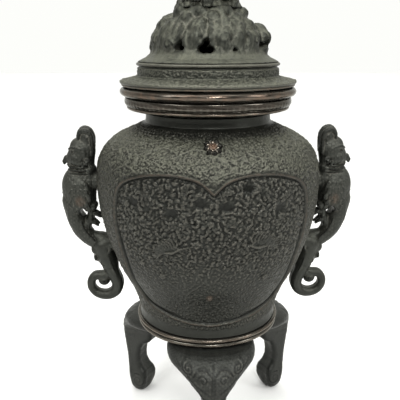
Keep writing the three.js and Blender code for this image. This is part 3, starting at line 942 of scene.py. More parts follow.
def lid_relief():
    """Granular flowers on the lid's flange and a fret of scrolls round its band."""
    length = 2 * pi * LID_BAND_RADIUS
    sheet = Sheet(0, length, 0, 34, 0.4)
    cells = 34
    for i in range(cells):
        x = (i + 0.5) * length / cells
        hand = 1 if i % 2 else -1
        sheet.spiral(x, 22.5, 3.1, 1.5, 0.62, 0.4, start=0.8 * hand, hand=hand)
        sheet.blossom(x + 4.6, 22.5, 1.5, 0.6, turn=i)
    for y in (18.6, 26.4):
        sheet.stroke([(0, y), (length, y)], 0.5, 0.7)
    for y in np.arange(3.0, 15, 2.4):
        for x in np.arange(0, length, 3.1):
            px, py = x + RNG.uniform(-0.7, 0.7), y + RNG.uniform(-0.5, 0.5)
            if RNG.uniform() < 0.55:
                sheet.blossom(px, py, RNG.uniform(1.2, 1.7), 0.8, turn=RNG.uniform(0, 6))
            else:
                sheet.leaf(px, py, RNG.uniform(0, 6.3), 3.0, 1.0, 0.8)
    sheet.h += 0.55 * grain_of_sand(sheet.h.shape)
    return sheet


def make_lid_base():
    outline = ([(47.2, 300.8), (50, 300.8), (50, 305.3), (67.6, 305.3)]
               + bead((69.2, 306.3), (1.3, 1.0), -90, 40, 7) + bead((69.4, 308.4), (2.1, 1.5), -40, 85, 9)
               + [(66, 310.4), (60.5, 311.7), (58.2, 312.4), (57.3, 313.2), (56.8, 319.2), (55.9, 320),
                  (56.2, 320.9)] + bead((56.6, 322.3), (1.5, 1.3), -60, 90, 7)
               + [(51, 323.7), (51, 309), (47.2, 307)])
    sheet = lid_relief()

    def shapes(azimuth, r, z):
        x = np.radians(azimuth) * LID_BAND_RADIUS
        flange = (z > 308.8) & (z < 312.6) & (r > 57.8)
        band = (z >= 312.6) & (z <= 319.2) & (r > 56)
        off_sheet = 40
        y = np.where(flange, 2 + (70 - r) * 1.05, np.where(band, 18.4 + (z - 312.8) * 1.1, off_sheet))
        return uneven(azimuth, r, z, 0.12) + 0.8 * sheet.at(x + 0 * y, y + 0 * x) * (flange | band)

    turned_piece("lid_flange", outline, 560, 0.55, "lid_bronze", "lid_base", shapes,
                 lambda r, z: 0.4 * smoothstep(70.1, 70.4, r) * (z < 307), "lid")


# ---- the shoulder's crest ----
def make_crest():
    clay = Clay((-14, -95, 252), (14, -60, 282), 0.35)
    out = np.array([0, -cos(radians(52)), sin(radians(52))])
    up = np.array([0, out[2], -out[1]])
    side = np.array([1.0, 0, 0])
    on_wall = np.array([0, -np.interp(266, JAR_CURVE[:, 1], JAR_CURVE[:, 0]), 266])

    def at(u, v, w=0.0):
        return on_wall + u * side + v * up + w * out

    for i in range(8):
        a = 2 * pi * i / 8 + 0.2
        tip = at(7.0 * cos(a), 8.5 * sin(a), 0.0)
        mid = at(4.8 * cos(a), 6.0 * sin(a), 0.9)
        clay.rod([at(2 * cos(a), 2 * sin(a), 0.9), mid, tip], (1.4, 2.2, 0.7), 0.3)
        clay.rod([at(3 * cos(a), 3 * sin(a), 2.4), at(6 * cos(a), 7.3 * sin(a), 2.2)], (0.35, 0.2), 0.2,
                 cut=True)
    for ring, (count, radius, size, lift) in enumerate(((6, 3.2, 1.7, 1.2), (5, 1.8, 1.3, 2.1))):
        for i in range(count):
            a = 2 * pi * (i + 0.5 * ring) / count + 0.5
            turn = frame_along(cos(a) * side + sin(a) * up, out)
            u, v = radius * cos(a), radius * sin(a)
            clay.oval(at(u, v, lift), (size * 1.15, size, 0.9), 0.15, turn)
            clay.oval(at(1.15 * u, 1.15 * v, lift + 1.0), (size * 0.6, size * 0.5, 0.55), 0.3, turn, cut=True)
    clay.oval(at(0, 0, 2.9), 1.25, 0.2)
    points, quads = clay.surface()
    from_eye = np.linalg.norm(points - at(0, 0, 2), axis=1)
    piece("crest_peony", points, quads, "copper", ("shoulder_crest",),
          marks={"copper": 0.8 * smoothstep(4.2, 2.0, from_eye)})


# ---- legs ----
LEG_SIDE = [
    (40, 101), (43, 88), (50, 76), (57, 66.5), (57.6, 60), (61, 56), (67, 53), (70.3, 47), (71.8, 39),
    (71.6, 33), (69.2, 28), (65.2, 24), (63.8, 18), (64.6, 10.5), (67, 4.5), (70, 0), (73, -2), (78, -2),
    (81.5, 4), (84, 16), (85.2, 27), (86.2, 40), (88.2, 52), (89.6, 62), (89.4, 70), (87.6, 77.5),
    (84.4, 84.5), (80, 91), (75.5, 96), (71, 99.4), (66, 101),
]  # seen from the side: radius, height
LEG_FRONT = [
    (22, 101.5), (29, 100), (34.2, 97.5), (38, 93.8), (38.6, 89.2), (34.8, 85.9), (28.6, 83.2), (22.8, 80.2),
    (17, 76.7), (12.4, 72.8), (9.8, 68.2), (8.8, 60), (9, 38), (9.4, 27), (11, 19), (10.8, 9), (8.5, 2.5),
    (4, -1.6), (1, -2),
]  # seen from the front: half width, height


def leg_relief():
    """A beast's mask over acanthus: eyes and curls on the knee, veins down the shin. x is across."""
    sheet = Sheet(-34, 34, 0, 110, 0.4)
    for hand in (-1, 1):
        sheet.spiral(20 * hand, 90, 5.0, 1.7, 1.0, 1.5, start=1.2 if hand > 0 else pi - 1.2, hand=-hand)
        sheet.spiral(8.2 * hand, 84, 3.6, 1.4, 0.9, 1.6, start=0.4 if hand > 0 else pi - 0.4, hand=hand)
        sheet.stroke([(8.2 * hand, 84), (8.3 * hand, 84)], 1.5, 1.8)
        brow = spline([(1.5 * hand, 88), (6 * hand, 91), (12 * hand, 90), (16 * hand, 85)], 6)
        sheet.stroke(brow, (1.5, 0.7), 1.4)
        for i in range(4):
            x, z = 21 - 3.4 * i, 92 - 5.5 * i
            middle = ((6 + 0.25 * x) * hand, z - 14)
            lobe = spline([(2 * hand, 72 - 7 * i), middle, (x * hand, z - 9)], 6)
            sheet.stroke(lobe, (1.3, 0.7), 1.0)
        for i in range(5):
            z = 60 - 10 * i
            vein = spline([(1 * hand, z), (4.5 * hand, z + 2), (8 * hand, z + 9)], 5)
            sheet.stroke(vein, (1.0, 0.5), 0.8)
        edge = [(29, 92.5), (19.4, 83.5), (13, 77), (8.8, 70), (7.4, 60), (7, 40), (7.5, 28)]
        sheet.stroke(spline(edge, 6) * (hand, 1), 0.9, 0.7)
    sheet.stroke(spline([(0, 92), (0, 86), (0, 80), (0, 74)], 5), (1.4, 2.6), 1.8)
    sheet.stroke([(0, 74), (0, 60), (0, 24)], (1.5, 1.3, 0.8), 1.3)
    for i in range(9):
        sheet.blossom(-26 + 6.5 * i, 96.6, 2.2, 0.7, turn=i)
    for hand in (-1, 1):
        sheet.spiral(3.5 * hand, 13, 4.0, 1.3, 0.9, 1.2, start=1.5, hand=hand)
    return sheet


def make_legs():
    clay = Clay((36, -43, -2), (93, 43, 102), 0.64)
    x, y, z = clay.everywhere()
    side = solid_of_turning(clay, LEG_SIDE, flatten=1.3)
    front_edge = spline(LEG_FRONT, 4)
    front = np.vstack([front_edge, front_edge[::-1] * (-1, 1)])
    front = outline_distance(y[0], z[0], front).astype(np.float32)
    round_cornered = front
    for _ in range(60):
        p = np.pad(round_cornered, 1, mode="edge")
        round_cornered = 0.2 * (p[1:-1, 1:-1] + p[2:, 1:-1] + p[:-2, 1:-1] + p[1:-1, 2:] + p[1:-1, :-2])
    front = (front + smoothstep(72, 84, z[0]) * (round_cornered - front))[None]
    clay.d = side
    clay.keep_under(front + 0 * clay.d, 5 + 9 * smoothstep(70, 86, z))
    relief = leg_relief().at(y + 0 * z, z + 0 * y).astype(np.float32)
    rho = np.hypot(x, 1.3 * y)
    # relief only shows beyond this radius, on the leg's outward face
    inner = np.interp(z, [0, 22, 30, 45, 57, 74, 88, 98], [74, 76, 79, 79, 76, 68, 58, 50])
    outward = smoothstep(-2, 4, rho - inner)
    clay.d = clay.d - relief * outward * 0.28
    for hand in (-1, 1):  # curls on each side of the foot and behind the knee
        for centre, reach, turns in (((71.5, 13.5), 7.6, 1.5), ((70, 80), 9, 1.4)):
            r, a = winding(turns, reach, 0.8, 30)
            width = np.interp(centre[1] + r * np.sin(a), [0, 7, 17, 26, 68, 76, 83, 90],
                              [8, 11, 11, 8.6, 8.6, 10.5, 16, 24])
            path = np.stack([centre[0] + r * np.cos(a + 1.0), hand * (width - 0.5),
                             centre[1] + r * np.sin(a + 1.0)], axis=1)
            clay.rod(path, (0.8, 0.6), 0.7)
    clay.d -= 0.22 * (0.5 - billows(x, y, z, 0.6, 0.5)) * outward
    clay.oval((73.2, 0, 10), (9.6, 10.6, 10.2), 2.5)
    clay.d = np.maximum(clay.d, -z).astype(np.float32)
    clay.keep_under(z - LEG_TOP_Z + 0 * clay.d, 5)
    points, quads = clay.surface()
    for name, azimuth, spread in (("front", 0, 0), ("left", -120, 1.5), ("right", 120, 1.5)):
        placed = turned_about_z(points + (spread, 0, 0), azimuth - 90) + (1.2, 0, 0)
        piece("leg_" + name + "_cast", placed, quads, "leg_bronze", ("leg_" + name,))


# ---- handles ----
SIDES = (("right", 0), ("left", 180))  # the handles, and degrees round from the right one


def feather(clay, root, direction, outward, length, width, thickness=0.9):
    """One feather lying on a surface: pointed, with a raised quill."""
    d, out = unit(direction), unit(outward)
    root = np.array(root, float)
    clay.oval(root + 0.5 * length * d, (0.58 * length, width, thickness), 0.25, frame_along(d, outward))
    clay.rod([root + 0.8 * thickness * out, root + 0.95 * length * d + 0.5 * thickness * out],
             (0.4, 0.25), 0.2)


def bird_trunk(clay):
    """Breast, back and the lug that holds it to the jar."""
    clay.oval((109.3, 0, 220.5), (14.6, 11.5, 18.5), 3)
    clay.oval((109.5, 0, 209), (14.2, 10.0, 12), 3)
    clay.rod([(86, 0, 226), (100, 0, 226)], (7.6, 7.6), 2)
    clay.rod([(100.5, 0, 235), (99.4, 0, 226), (101, 0, 216.5)], (6.6, 5.2, 5.2), 2, flat=(1, 1.3, 1))
    for z, r in ((238.4, 11.2), (236.0, 11.7), (233.4, 12.1)):
        clay.oval((106.6, 0, z), (r, r * 0.86, 1.7), 0.5)


def bird_head(clay):
    """Head, with cheeks, hooked beak, brows and a crest swept up and back."""
    clay.oval((105.2, 0, 250.6), (10.8, 9.4, 12.4), 1.5)
    clay.oval((110.4, 0, 246.5), (7.8, 7.8, 7.8), 2)
    clay.oval((108.4, 0, 255.8), (6.2, 6.8, 6.4), 1.5)
    clay.rod([(100.5, 0, 262), (98.8, 0, 252), (99.5, 0, 242)], (4.4, 4.2, 4.2), 1.5, flat=(1, 1.5, 1))
    clay.rod([(113, 0, 246), (118, 0, 244.8), (120.3, 0, 242.8), (120.8, 0, 240.6)], (4.4, 3.0, 1.9, 1.1), 1)
    clay.rod([(112, 0, 241.5), (117, 0, 239.8)], (3.2, 1.6), 0.8)
    for hand in (-1, 1):
        clay.oval((108.8, 6.4 * hand, 245.0), (5.8, 3.4, 5.0), 1.0)
        clay.oval((111.4, 6.2 * hand, 251.2), 2.3, 0.4)
        clay.oval((111.6, 7.9 * hand, 251.3), 0.8, 0.2, cut=True)
        brow = spline([(115.6, 3.2 * hand, 253.4), (111.5, 6.8 * hand, 255.2), (105, 7.8 * hand, 253.6)], 5)
        clay.rod(brow, (0.9, 1.4), 0.5)
        for i in range(5):  # feathers of the cheek and neck
            a = radians(200 + 32 * i)
            feather(clay, (104.5 + 3.2 * cos(a), 8.4 * hand, 247 + 4.0 * sin(a)),
                    (cos(a), 0, sin(a)), (0, hand, 0), 4.2, 1.6, 0.8)
    clay.oval((101.6, 0, 263.5), (6.2, 6.6, 7.6), 1.5)
    for y in (-5.4, -2.7, 0, 2.7, 5.4):
        drop = 0.06 * y * y
        plume = spline([
            (107.2, 0.8 * y, 262.5 - drop), (106.9, 0.9 * y, 266.8 - drop), (104.4, y, 270 - drop),
            (100.8, y, 270.4 - drop), (97.4, y, 267.6 - drop), (96.0, 1.1 * y, 260), (96.2, 1.2 * y, 249)], 5)
        thick = np.interp(np.arange(len(plume)), [0, 8, 14, 22, 30], [1.3, 1.8, 2.0, 1.9, 1.2])
        clay.rod(plume, thick, 0.35)


def bird_breast(clay):
    """Breast feathers, in rows like scales."""
    for row in range(8):
        z = 229 - 4.2 * row
        reach = sqrt(max(1 - ((z - 219) / 17.5) ** 2, 0.05))
        for k in range(-2, 3):
            a = radians((k + 0.5 * (row % 2)) * 24)
            p = np.array([109.5 + 14.3 * reach * cos(a), 11.5 * reach * sin(a), z])
            feather(clay, p - 0.45 * np.array([cos(a), sin(a), 0]),
                    (0.02 * cos(a) * (z - 219) - 0.12 * cos(a), 0, -1), (cos(a), sin(a), 0.1),
                    5.0, 2.4, 0.6)


def bird_wings(clay):
    """Folded wings: a scaled shoulder over long flight feathers."""
    for hand in (-1, 1):
        clay.oval((107.5, 9.2 * hand, 213.5), (10.0, 4.0, 15.0), 1.2)
        for row in range(5):
            z = 225 - 4.6 * row
            half = 8.6 * sqrt(max(1 - ((z - 214) / 17) ** 2, 0.1))
            for k in range(4):
                u = -1 + (k + 0.5 + 0.5 * (row % 2)) / 2.25
                if abs(u) > 1:
                    continue
                y = hand * (9.2 + 3.9 * sqrt(max(1 - (u * half / 10.5) ** 2 - ((z - 213.5) / 16) ** 2, 0)))
                feather(clay, (107.5 + u * half, y - 0.35 * hand, z), (-0.1 + 0.25 * u, 0, -1), (0, hand, 0),
                        6.0, 2.2, 0.65)
        for k in range(6):
            x = 103.5 + 2.6 * k
            feather(clay, (x, 9.2 * hand, 210 - 0.4 * k), (0.5 - 0.08 * k, -0.15 * hand, -1), (0, hand, 0),
                    9.5 + 1.6 * k, 1.7, 0.9)


def bird_tail(clay):
    """Layered plumes in a long curve that ends against the bracket."""
    spine = spline([(116, 0, 209), (114.9, 0, 200), (112.2, 0, 191.5), (108.8, 0, 183), (103.8, 0, 176.2),
                    (97, 0, 170.5)], 6)
    thick = spread_along((8.0, 7.1, 7.7, 7.3, 6.4, 5.6), len(spine))
    clay.rod(spine, thick, 1.5, flat=(1, 1.15, 1))
    tangent = tangents(spine)
    normal = np.stack([-tangent[:, 2], np.zeros(len(spine)), tangent[:, 0]], axis=1)
    for k in range(2, len(spine) - 6, 3):
        for a in np.radians((-62, -21, 21, 62)):
            side = normal[k] * cos(a) + np.array([0, 1.12, 0]) * sin(a)
            root = spine[k] + side * (thick[k] - 0.4)
            feather(clay, root, tangent[k] - 0.06 * side, side, 8.0, 2.1, 0.6)
        for hand in (-1, 1):
            root = spine[k] + np.array([0, hand * thick[k] * 1.1, 0]) - 0.3 * thick[k] * normal[k]
            feather(clay, root, tangent[k] - 0.1 * normal[k], (0, hand, 0), 7.5, 1.9, 0.7)


def bird_claws(clay):
    """Legs and claws, reaching back towards the jar."""
    for hand in (-1, 1):
        y = 3.2 * hand
        clay.rod([(101, y, 209), (100.2, y, 200), (101, y, 193), (105, y, 185)], (3.8, 2.8, 3.0, 3.8), 1.2)
        clay.oval((98.0, y, 203.8), (3.7, 3.2, 3.6), 0.8)
        for tip, root, r in (
                ((91.8, y, 194.6), (101, y, 197.5), 2.3), ((94.6, y, 187), (102.5, y, 190.5), 2.4)):
            middle = (0.5 * (tip[0] + root[0]), y * 1.1, 0.5 * (tip[2] + root[2]) + 1.2)
            clay.rod(spline([root, middle, tip], 4), (r, 1.2), 0.5)


def make_birds():
    """A crested bird that faces out, its claws on the jar, its long tail curving in below."""
    clay = Clay((86, -18, 160), (130, 18, 276), 0.5)
    for shape in (bird_trunk, bird_head, bird_breast, bird_wings, bird_tail, bird_claws):
        shape(clay)
    clay.oval((105.6, 0, 200.4), (3.0, 22, 4.6), 0.4, cut=True)
    clay.d -= 0.3 * (0.5 - billows(*clay.everywhere(), 0.55, 0.55))
    points, quads = clay.surface()
    copper = np.exp(-(((points[:, 0] - 107) / 4) ** 2 + ((points[:, 2] - 210.7) / 4.5) ** 2) ** 2) * 0.4
    for name, turn in SIDES:
        piece(name + "_phoenix", turned_about_z(points, turn), quads, "handle_bronze", ("bird_" + name,),
              marks={"copper": copper})


def make_brackets():
    """Scrolled brackets under the birds."""
    clay = Clay((68, -12, 110), (112, 12, 186), 0.45)
    for y in (-3.4, 0, 3.4):
        round_off = 0.5 if y else 0.0
        clay.rod([(78, y, 172), (88, y, 170.5), (96.5, y, 165)], (7.6 - round_off, 7.2 - round_off, 5), 1.4)
        clay.rod([(91, y, 168), (88.6, y, 158), (87, y, 150)], (8.4 - round_off, 7.4 - round_off, 5.8), 1.4)
    stem = spline([(87.4, 0, 152), (86.7, 0, 149), (84.4, 0, 144), (81.6, 0, 138), (79.8, 0, 131.5),
                   (81.8, 0, 125.2), (86.8, 0, 121.4), (92.8, 0, 120.8), (98.8, 0, 123),
                   (102.9, 0, 128.2), (103.0, 0, 134.6), (99.2, 0, 139.2), (93.6, 0, 139.6)], 5)
    at = np.arange(len(stem))
    radii = np.interp(at, [0, 10, 20, 30, 45, 60], [5.4, 5.2, 5.0, 4.1, 3.4, 3.3])
    spacing = np.interp(at, [0, 20, 35, 60], [2.6, 2.4, 1.6, 1.2])
    for hand in (-1, 1):
        path = stem.copy()
        path[:, 1] = hand * spacing
        clay.rod(path, radii * 0.98, 0.9)
        ridge = stem.copy()
        ridge[:, 1] = hand * (spacing + radii * 0.92)
        clay.rod(ridge, 0.55, 0.5)
    clay.rod([(99, 0, 177), (92, 0, 174.6), (84, 0, 173)], (4.0, 4.8, 4.8), 1.5, flat=(1, 1.3, 1))
    clay.rod([(85.4, 0, 157), (84.8, 0, 149), (83.6, 0, 141)], (6.4, 6.0, 5.4), 1.2, flat=(1, 1.15, 1))
    clay.rod([(99, 0, 138.8), (92, 0, 139.2), (86, 0, 142)], (3.4, 4.2, 5.0), 1.0, flat=(1, 1.2, 1))
    clay.oval((91.9, 0, 134.8), (5.3, 5.4, 5.0), 1.0)
    for hand in (-1, 1):
        clay.oval((91.8, 5.0 * hand, 135), (1.6, 1.0, 1.6), 0.4)
    # the cloud-like lobes on the outside of the arm
    for centre, r in (((95.6, 0, 157.2), 4.6), ((97.6, 0, 162.4), 3.6), ((92.4, 0, 153.6), 3.8)):
        clay.oval(centre, (r, r + 1.4, r), 1.0)
    for hand in (-1, 1):
        for cx, cz, reach, start in ((94.2, 158, 4.0, -0.5), (88.5, 166, 5.2, 1.2), (90.5, 154.5, 3.4, 2.4)):
            r, a = winding(1.35, reach, 0.8, 22)
            depth = 6.1 if cx > 92 else (9.2 if cz > 160 else 8.2)
            a += start
            path = [(cx + q * cos(b), hand * depth, cz + q * sin(b)) for q, b in zip(r, a)]
            clay.rod(path, (1.0, 0.7), 0.5)
        clay.rod(spline([(86.5, 9 * hand, 160), (83.8, 7.6 * hand, 150), (80.5, 6.4 * hand, 142)], 5),
                 (1.1, 0.6), 0.5)
    points, quads = clay.surface()
    for name, turn in SIDES:
        piece("scroll_" + name, turned_about_z(points, turn), quads, "handle_bronze", ("bracket_" + name,))


# ---- the openwork dome ----
CAVITY = [
    (0, 320), (47.5, 320), (47.5, 324.5), (41, 328), (36.6, 334), (35.2, 340), (31.5, 347), (26, 353.5),
    (19, 359.6), (0, 359.6),
]  # the hollow under the dome: radius, height


LOBES = [
    (-78, 7.5, 342), (-58, 7, 347), (-44, 6, 340), (-17, 6.5, 349), (13, 7.5, 344), (33, 7, 350),
    (52, 6.5, 343), (86, 8, 345), (104, 7, 339), (124, 7.5, 347), (146, 7, 341), (168, 7.5, 348),
    (190, 7, 342), (212, 7.5, 349), (234, 7, 341), (256, 7.5, 346), (268, 6.5, 338),
]  # the tall lobes between the caves: degrees round, size, top


def dome_at(azimuth, r, height):
    """A place at so many degrees round from the front."""
    a = radians(azimuth)
    return np.array([r * sin(a), -r * cos(a), height])


def dome_wall(height):
    """The radius of the dome's slope at a height."""
    return np.interp(height, [324, 325.2, 327.2, 330, 333.4, 337.5, 342, 346.5, 351, 355.5, 360.5, 364],
                     [56.9, 54.5, 50.2, 46.4, 43.6, 41.8, 41, 39.4, 35.6, 30.3, 26.5, 24])


def dome_turn(azimuth):
    """The turn of an oval whose first axis points straight out of the dome's side."""
    return frame_along(dome_at(azimuth, 1, 0))


def dome_lobes(clay):
    """Tall lobes between the caves, each with a cap that overhangs."""
    for azimuth, size, top in LOBES:
        for f in np.linspace(0, 1, 5):
            height = 334 + (top - 334) * f
            r = dome_wall(height) - 1.6 * (1 - f) ** 2 + 1.4 * sin(f * 3)
            swell = size * (0.55 + 0.4 * sin(f * 2.2))
            clay.oval(dome_at(azimuth + 3 * sin(7 * f + azimuth), r - 0.3 * swell, height),
                      (swell * 0.62, swell * 0.62, 4.8), 3.4)
        clay.oval(dome_at(azimuth, dome_wall(top) - 0.8, top), (size * 0.6, size * 0.95, size * 0.55), 2.0,
                  dome_turn(azimuth))


def dome_cloud_heads(clay):
    """Curled scrolls on some of the caps."""
    for azimuth, size, top in LOBES[::2]:
        r, a = winding(1.2, 0.55 * size, 0.82, 20)
        radius = dome_wall(top)
        out = radius + 0.28 * size + 2.0
        path = [
            dome_at(azimuth + degrees(q * cos(b) / radius), out - 0.25 * q * sin(b), top - 2.5 + q * sin(b))
            for q, b in zip(r, a)]
        clay.rod(path, (0.9, 0.6), 0.7)


def dome_rocks(clay):
    """The big bulge on the right and steps on the left, then rocks that climb to the figure."""
    for azimuth, r, height, radii in (
            (80, 43, 342, (7, 8, 6)), (86, 40, 349, (5, 7, 4.5)), (73, 44, 334, (4.5, 7, 4.5)),
            (95, 44, 336, (5, 6, 5)), (-78, 36, 351, (5, 7, 5)), (-84, 40, 343, (4, 7, 5)),
            (-70, 41, 335, (4, 6, 4)), (-88, 31, 356, (5, 6, 4)), (42, 31, 355, (5, 6, 5)),
            (-35, 30, 356, (5, 6, 5)), (5, 29, 357, (5, 7, 4.5)), (22, 34, 352, (4.5, 6, 5)),
            (-14, 34, 351, (4.5, 5, 5)), (-55, 35, 351, (4, 5, 5)), (60, 34, 351, (4.5, 6, 5)),
            (120, 34, 352, (5, 6, 5)), (150, 31, 355, (5, 6, 5)), (178, 34, 351, (4.5, 6, 5)),
            (205, 30, 356, (5, 6, 5)), (230, 34, 352, (4.5, 6, 5)), (255, 31, 355, (5, 6, 4)),
            (80, 27.5, 361, (4, 6, 4)), (-60, 26.5, 361.5, (3.6, 6, 4)), (-20, 26.5, 361.5, (3.6, 6, 4)),
            (25, 26.5, 362, (3.6, 6, 4)), (125, 27, 361, (4, 6, 4)), (170, 26.5, 361, (4, 6, 4)),
            (215, 27, 361, (4, 6, 4))):
        clay.oval(dome_at(azimuth, r, height), radii, 3.2, dome_turn(azimuth))


def dome_folds(clay):
    """Folds, running down the slopes."""
    for i in range(44):
        azimuth = i * 360 / 44 + RNG.uniform(-3, 3)
        top = RNG.uniform(340, 360)
        foot = RNG.uniform(331, 338)
        heights = np.linspace(top, foot, 8)
        sway = RNG.uniform(-3, 3)
        path = [dome_at(azimuth + sway * sin(0.8 * k), dome_wall(h) + 1.8 - 0.42 * k, h)
                for k, h in enumerate(heights)]
        clay.rod(path, (0.7, 1.3), 2.6)


def dome_caves(clay):
    """Holes right through the wall, each cut by three ovals."""
    for azimuth, height, r in (
            (-31, 336.5, 4.4), (-5, 336, 5.8), (24, 334, 2.2), (64, 338.5, 4.2), (74, 338, 3.6),
            (95, 333, 2.8), (122, 338, 4.4), (159, 337, 3.8), (197, 337, 3.8), (228, 338, 4.0),
            (252, 336, 4.4), (278, 336, 3.8)):
        turn = dome_turn(azimuth)
        for sideways, up, wide, tall in (
                (-0.35, -0.3, 0.8, 0.62), (0.4, -0.35, 0.75, 0.55), (0.05, 0.35, 0.6, 0.7)):
            place = dome_at(azimuth + degrees(sideways * r / 42), 44, height + up * r)
            clay.oval(place, (9, wide * r, tall * r), 0.8, turn, cut=True)


def make_dome():
    """A mound of clouds and rocks, hollow, with caves that go right through it."""
    clay = Clay((-60, -60, 322.6), (60, 60, 371), 0.76)
    x, y, z = clay.everywhere()
    outline = [
        (47.5, 323.7), (56.9, 323.7), (54.5, 325.2), (50.2, 327.2), (46.4, 330), (43.6, 333.4),
        (41.4, 337.5), (40.2, 342), (38.4, 346.5), (34.6, 351), (29.3, 355.5), (25.5, 360.5), (23, 364),
        (0, 364), (0, 359.6), (19, 359.6), (26, 353.5), (31.5, 347), (34.6, 340), (36.4, 334), (41, 329),
    ]
    rocky = smoothstep(326.5, 337, z)
    clay.d = solid_of_turning(clay, outline, wobble=2.2 * billows(x, y, z, 0.1, 0.05) * rocky)
    for shape in (dome_lobes, dome_cloud_heads, dome_rocks, dome_folds, dome_caves):
        shape(clay)
    clay.d = clay.d - rocky * (0.8 * billows(x, y, z, 0.16, 0.05) - 0.35) - 0.3 * billows(x, y, z, 0.8, 0.6)
    clay.keep_under(-solid_of_turning(clay, CAVITY), 0.6)
    clay.d = np.maximum(clay.d, DOME_FOOT_Z - z).astype(np.float32)
    clay.d = np.maximum(clay.d, z - DOME_TOP_Z)
    piece("cloud_dome", *clay.surface(), "lid_bronze", ("lid_dome",), "lid")


# ---- the lion ----
def curl(clay, centre, outward, reach, hand=1, spin=0.0):
    """A snail of hair standing on a surface."""
    out = unit(outward)
    u = unit(np.cross(out, (0.1, 0.2, 1.0)))
    v = np.cross(out, u)
    r, a = winding(1.4, reach, 0.85, 18)
    path = [np.array(centre) + q * (cos(hand * b + spin) * u + sin(hand * b + spin) * v)
            + out * 0.35 * reach * (1 - q / reach) for q, b in zip(r, a)]
    clay.rod(path, (1.0, 0.7), 0.35)


def make_lion_body():
    """A seated temple lion with a paw raised on its ball, on a rock."""
    clay = Clay((-32, -32, 363), (32, 34, 412), 0.55)

    def toes(x, y, z, gap, radii):
        for k in (-1, 0, 1):
            clay.oval((x + gap * k, y, z), radii, 0.3)

    # rock
    clay.oval((0, 0, 366.0), (24.5, 24.5, 5.2), 1.5)
    for i in range(13):
        a = 2 * pi * i / 13 + 0.3
        r = 20.5 + 1.2 * sin(3 * i)
        clay.oval((r * cos(a), r * sin(a), 367 + 1.8 * sin(2.3 * i)), (5.4, 5.4, 4.6), 1.0)
    for i in range(34):
        a = 2 * pi * i / 34 + 0.05 * sin(5 * i)
        lift = 1.6 * sin(2.9 * i)
        clay.rod([(15 * cos(a), 15 * sin(a), 370.5 + 0.5 * lift),
                  (22 * cos(a + 0.06), 22 * sin(a + 0.06), 369 + lift),
                  (25.5 * cos(a + 0.1), 25.5 * sin(a + 0.1), 364.5)], (0.8, 1.3, 1.6), 1.0)
    x, y, z = clay.everywhere()
    clay.d = clay.d - 0.8 * billows(x, y, z, 0.26, 0.12) + 0.4
    # trunk, haunches and legs
    clay.oval((0, 9, 381), (15.5, 14, 13), 3)
    clay.oval((0, -1, 393), (13, 12.5, 17), 4)
    for hand in (-1, 1):
        clay.oval((13.5 * hand, 7, 377.5), (7.5, 12, 10.5), 2)
        clay.rod([(15 * hand, 4, 374), (17 * hand, -8, 370.4)], (5.2, 3.8), 1.5)
        clay.oval((17 * hand, -11.5, 370.6), (4.4, 5.2, 3.0), 0.8)
        toes(17 * hand, -15.6, 369.8, 2.6, (1.5, 2.4, 1.9))
        for i in range(3):
            curl(clay, (20.3 * hand, 3 + 6.5 * i, 379 + 3 * (i % 2)), (hand, 0.1, 0.2), 3.0, hand)
    clay.rod([(-8.5, -8, 396), (-10.5, -14.5, 383), (-10.5, -17.5, 371)], (5.6, 4.5, 3.9), 2)
    clay.oval((-10.5, -20, 370.4), (4.2, 4.8, 2.8), 0.8)
    toes(-10.5, -24, 369.6, 2.5, (1.4, 2.2, 1.8))
    clay.rod([(8.5, -8, 396), (12.5, -14, 389), (13, -19.5, 385.6)], (5.4, 4.4, 3.6), 2)
    toes(13, -22.4, 385.3, 2.4, (1.3, 2.2, 1.7))
    # harness with a bell, and curls of mane down the back and chest
    belt = [(14.2 * sin(a), -1 - 13.4 * cos(a), 399 + 2.5 * cos(a)) for a in np.linspace(0, 6.283, 30)]
    clay.rod(belt, 1.1, 0.4)
    for a in np.linspace(-2.2, 2.2, 9):
        clay.oval((14.6 * sin(a), -1 - 13.8 * cos(a), 399 + 2.5 * cos(a)), 1.5, 0.2)
    clay.oval((0, -15.6, 398.6), 3.0, 0.4)
    clay.rod([(-2.6, -17.6, 397.6), (2.6, -17.6, 397.6)], 0.5, 0.2, cut=True)
    for row in range(4):
        for k in range(-2, 3):
            a = (k + 0.5 * (row % 2)) * 0.42
            p = (12.8 * sin(a), 3 + 10.5 * cos(a), 403 - 6.5 * row)
            curl(clay, p, (sin(a), cos(a), 0.2), 3.1, hand=1 if k % 2 else -1, spin=row)
    for k in range(-2, 3):
        curl(clay, (5.0 * k, -12.6 + 0.6 * k * k, 391 - 0.8 * k * k), (0.25 * k, -1, 0.1), 2.6,
             1 if k > 0 else -1)
    for i in range(7):
        clay.oval((0, 20.5 - 0.9 * i, 374 + 4.6 * i), (1.6, 2.6, 2.6), 0.6)
    clay.d = np.maximum(clay.d, LION_FOOT_Z - z).astype(np.float32)
    piece("lion_seated", *clay.surface(), "lid_bronze", ("lion_body",), "lid")


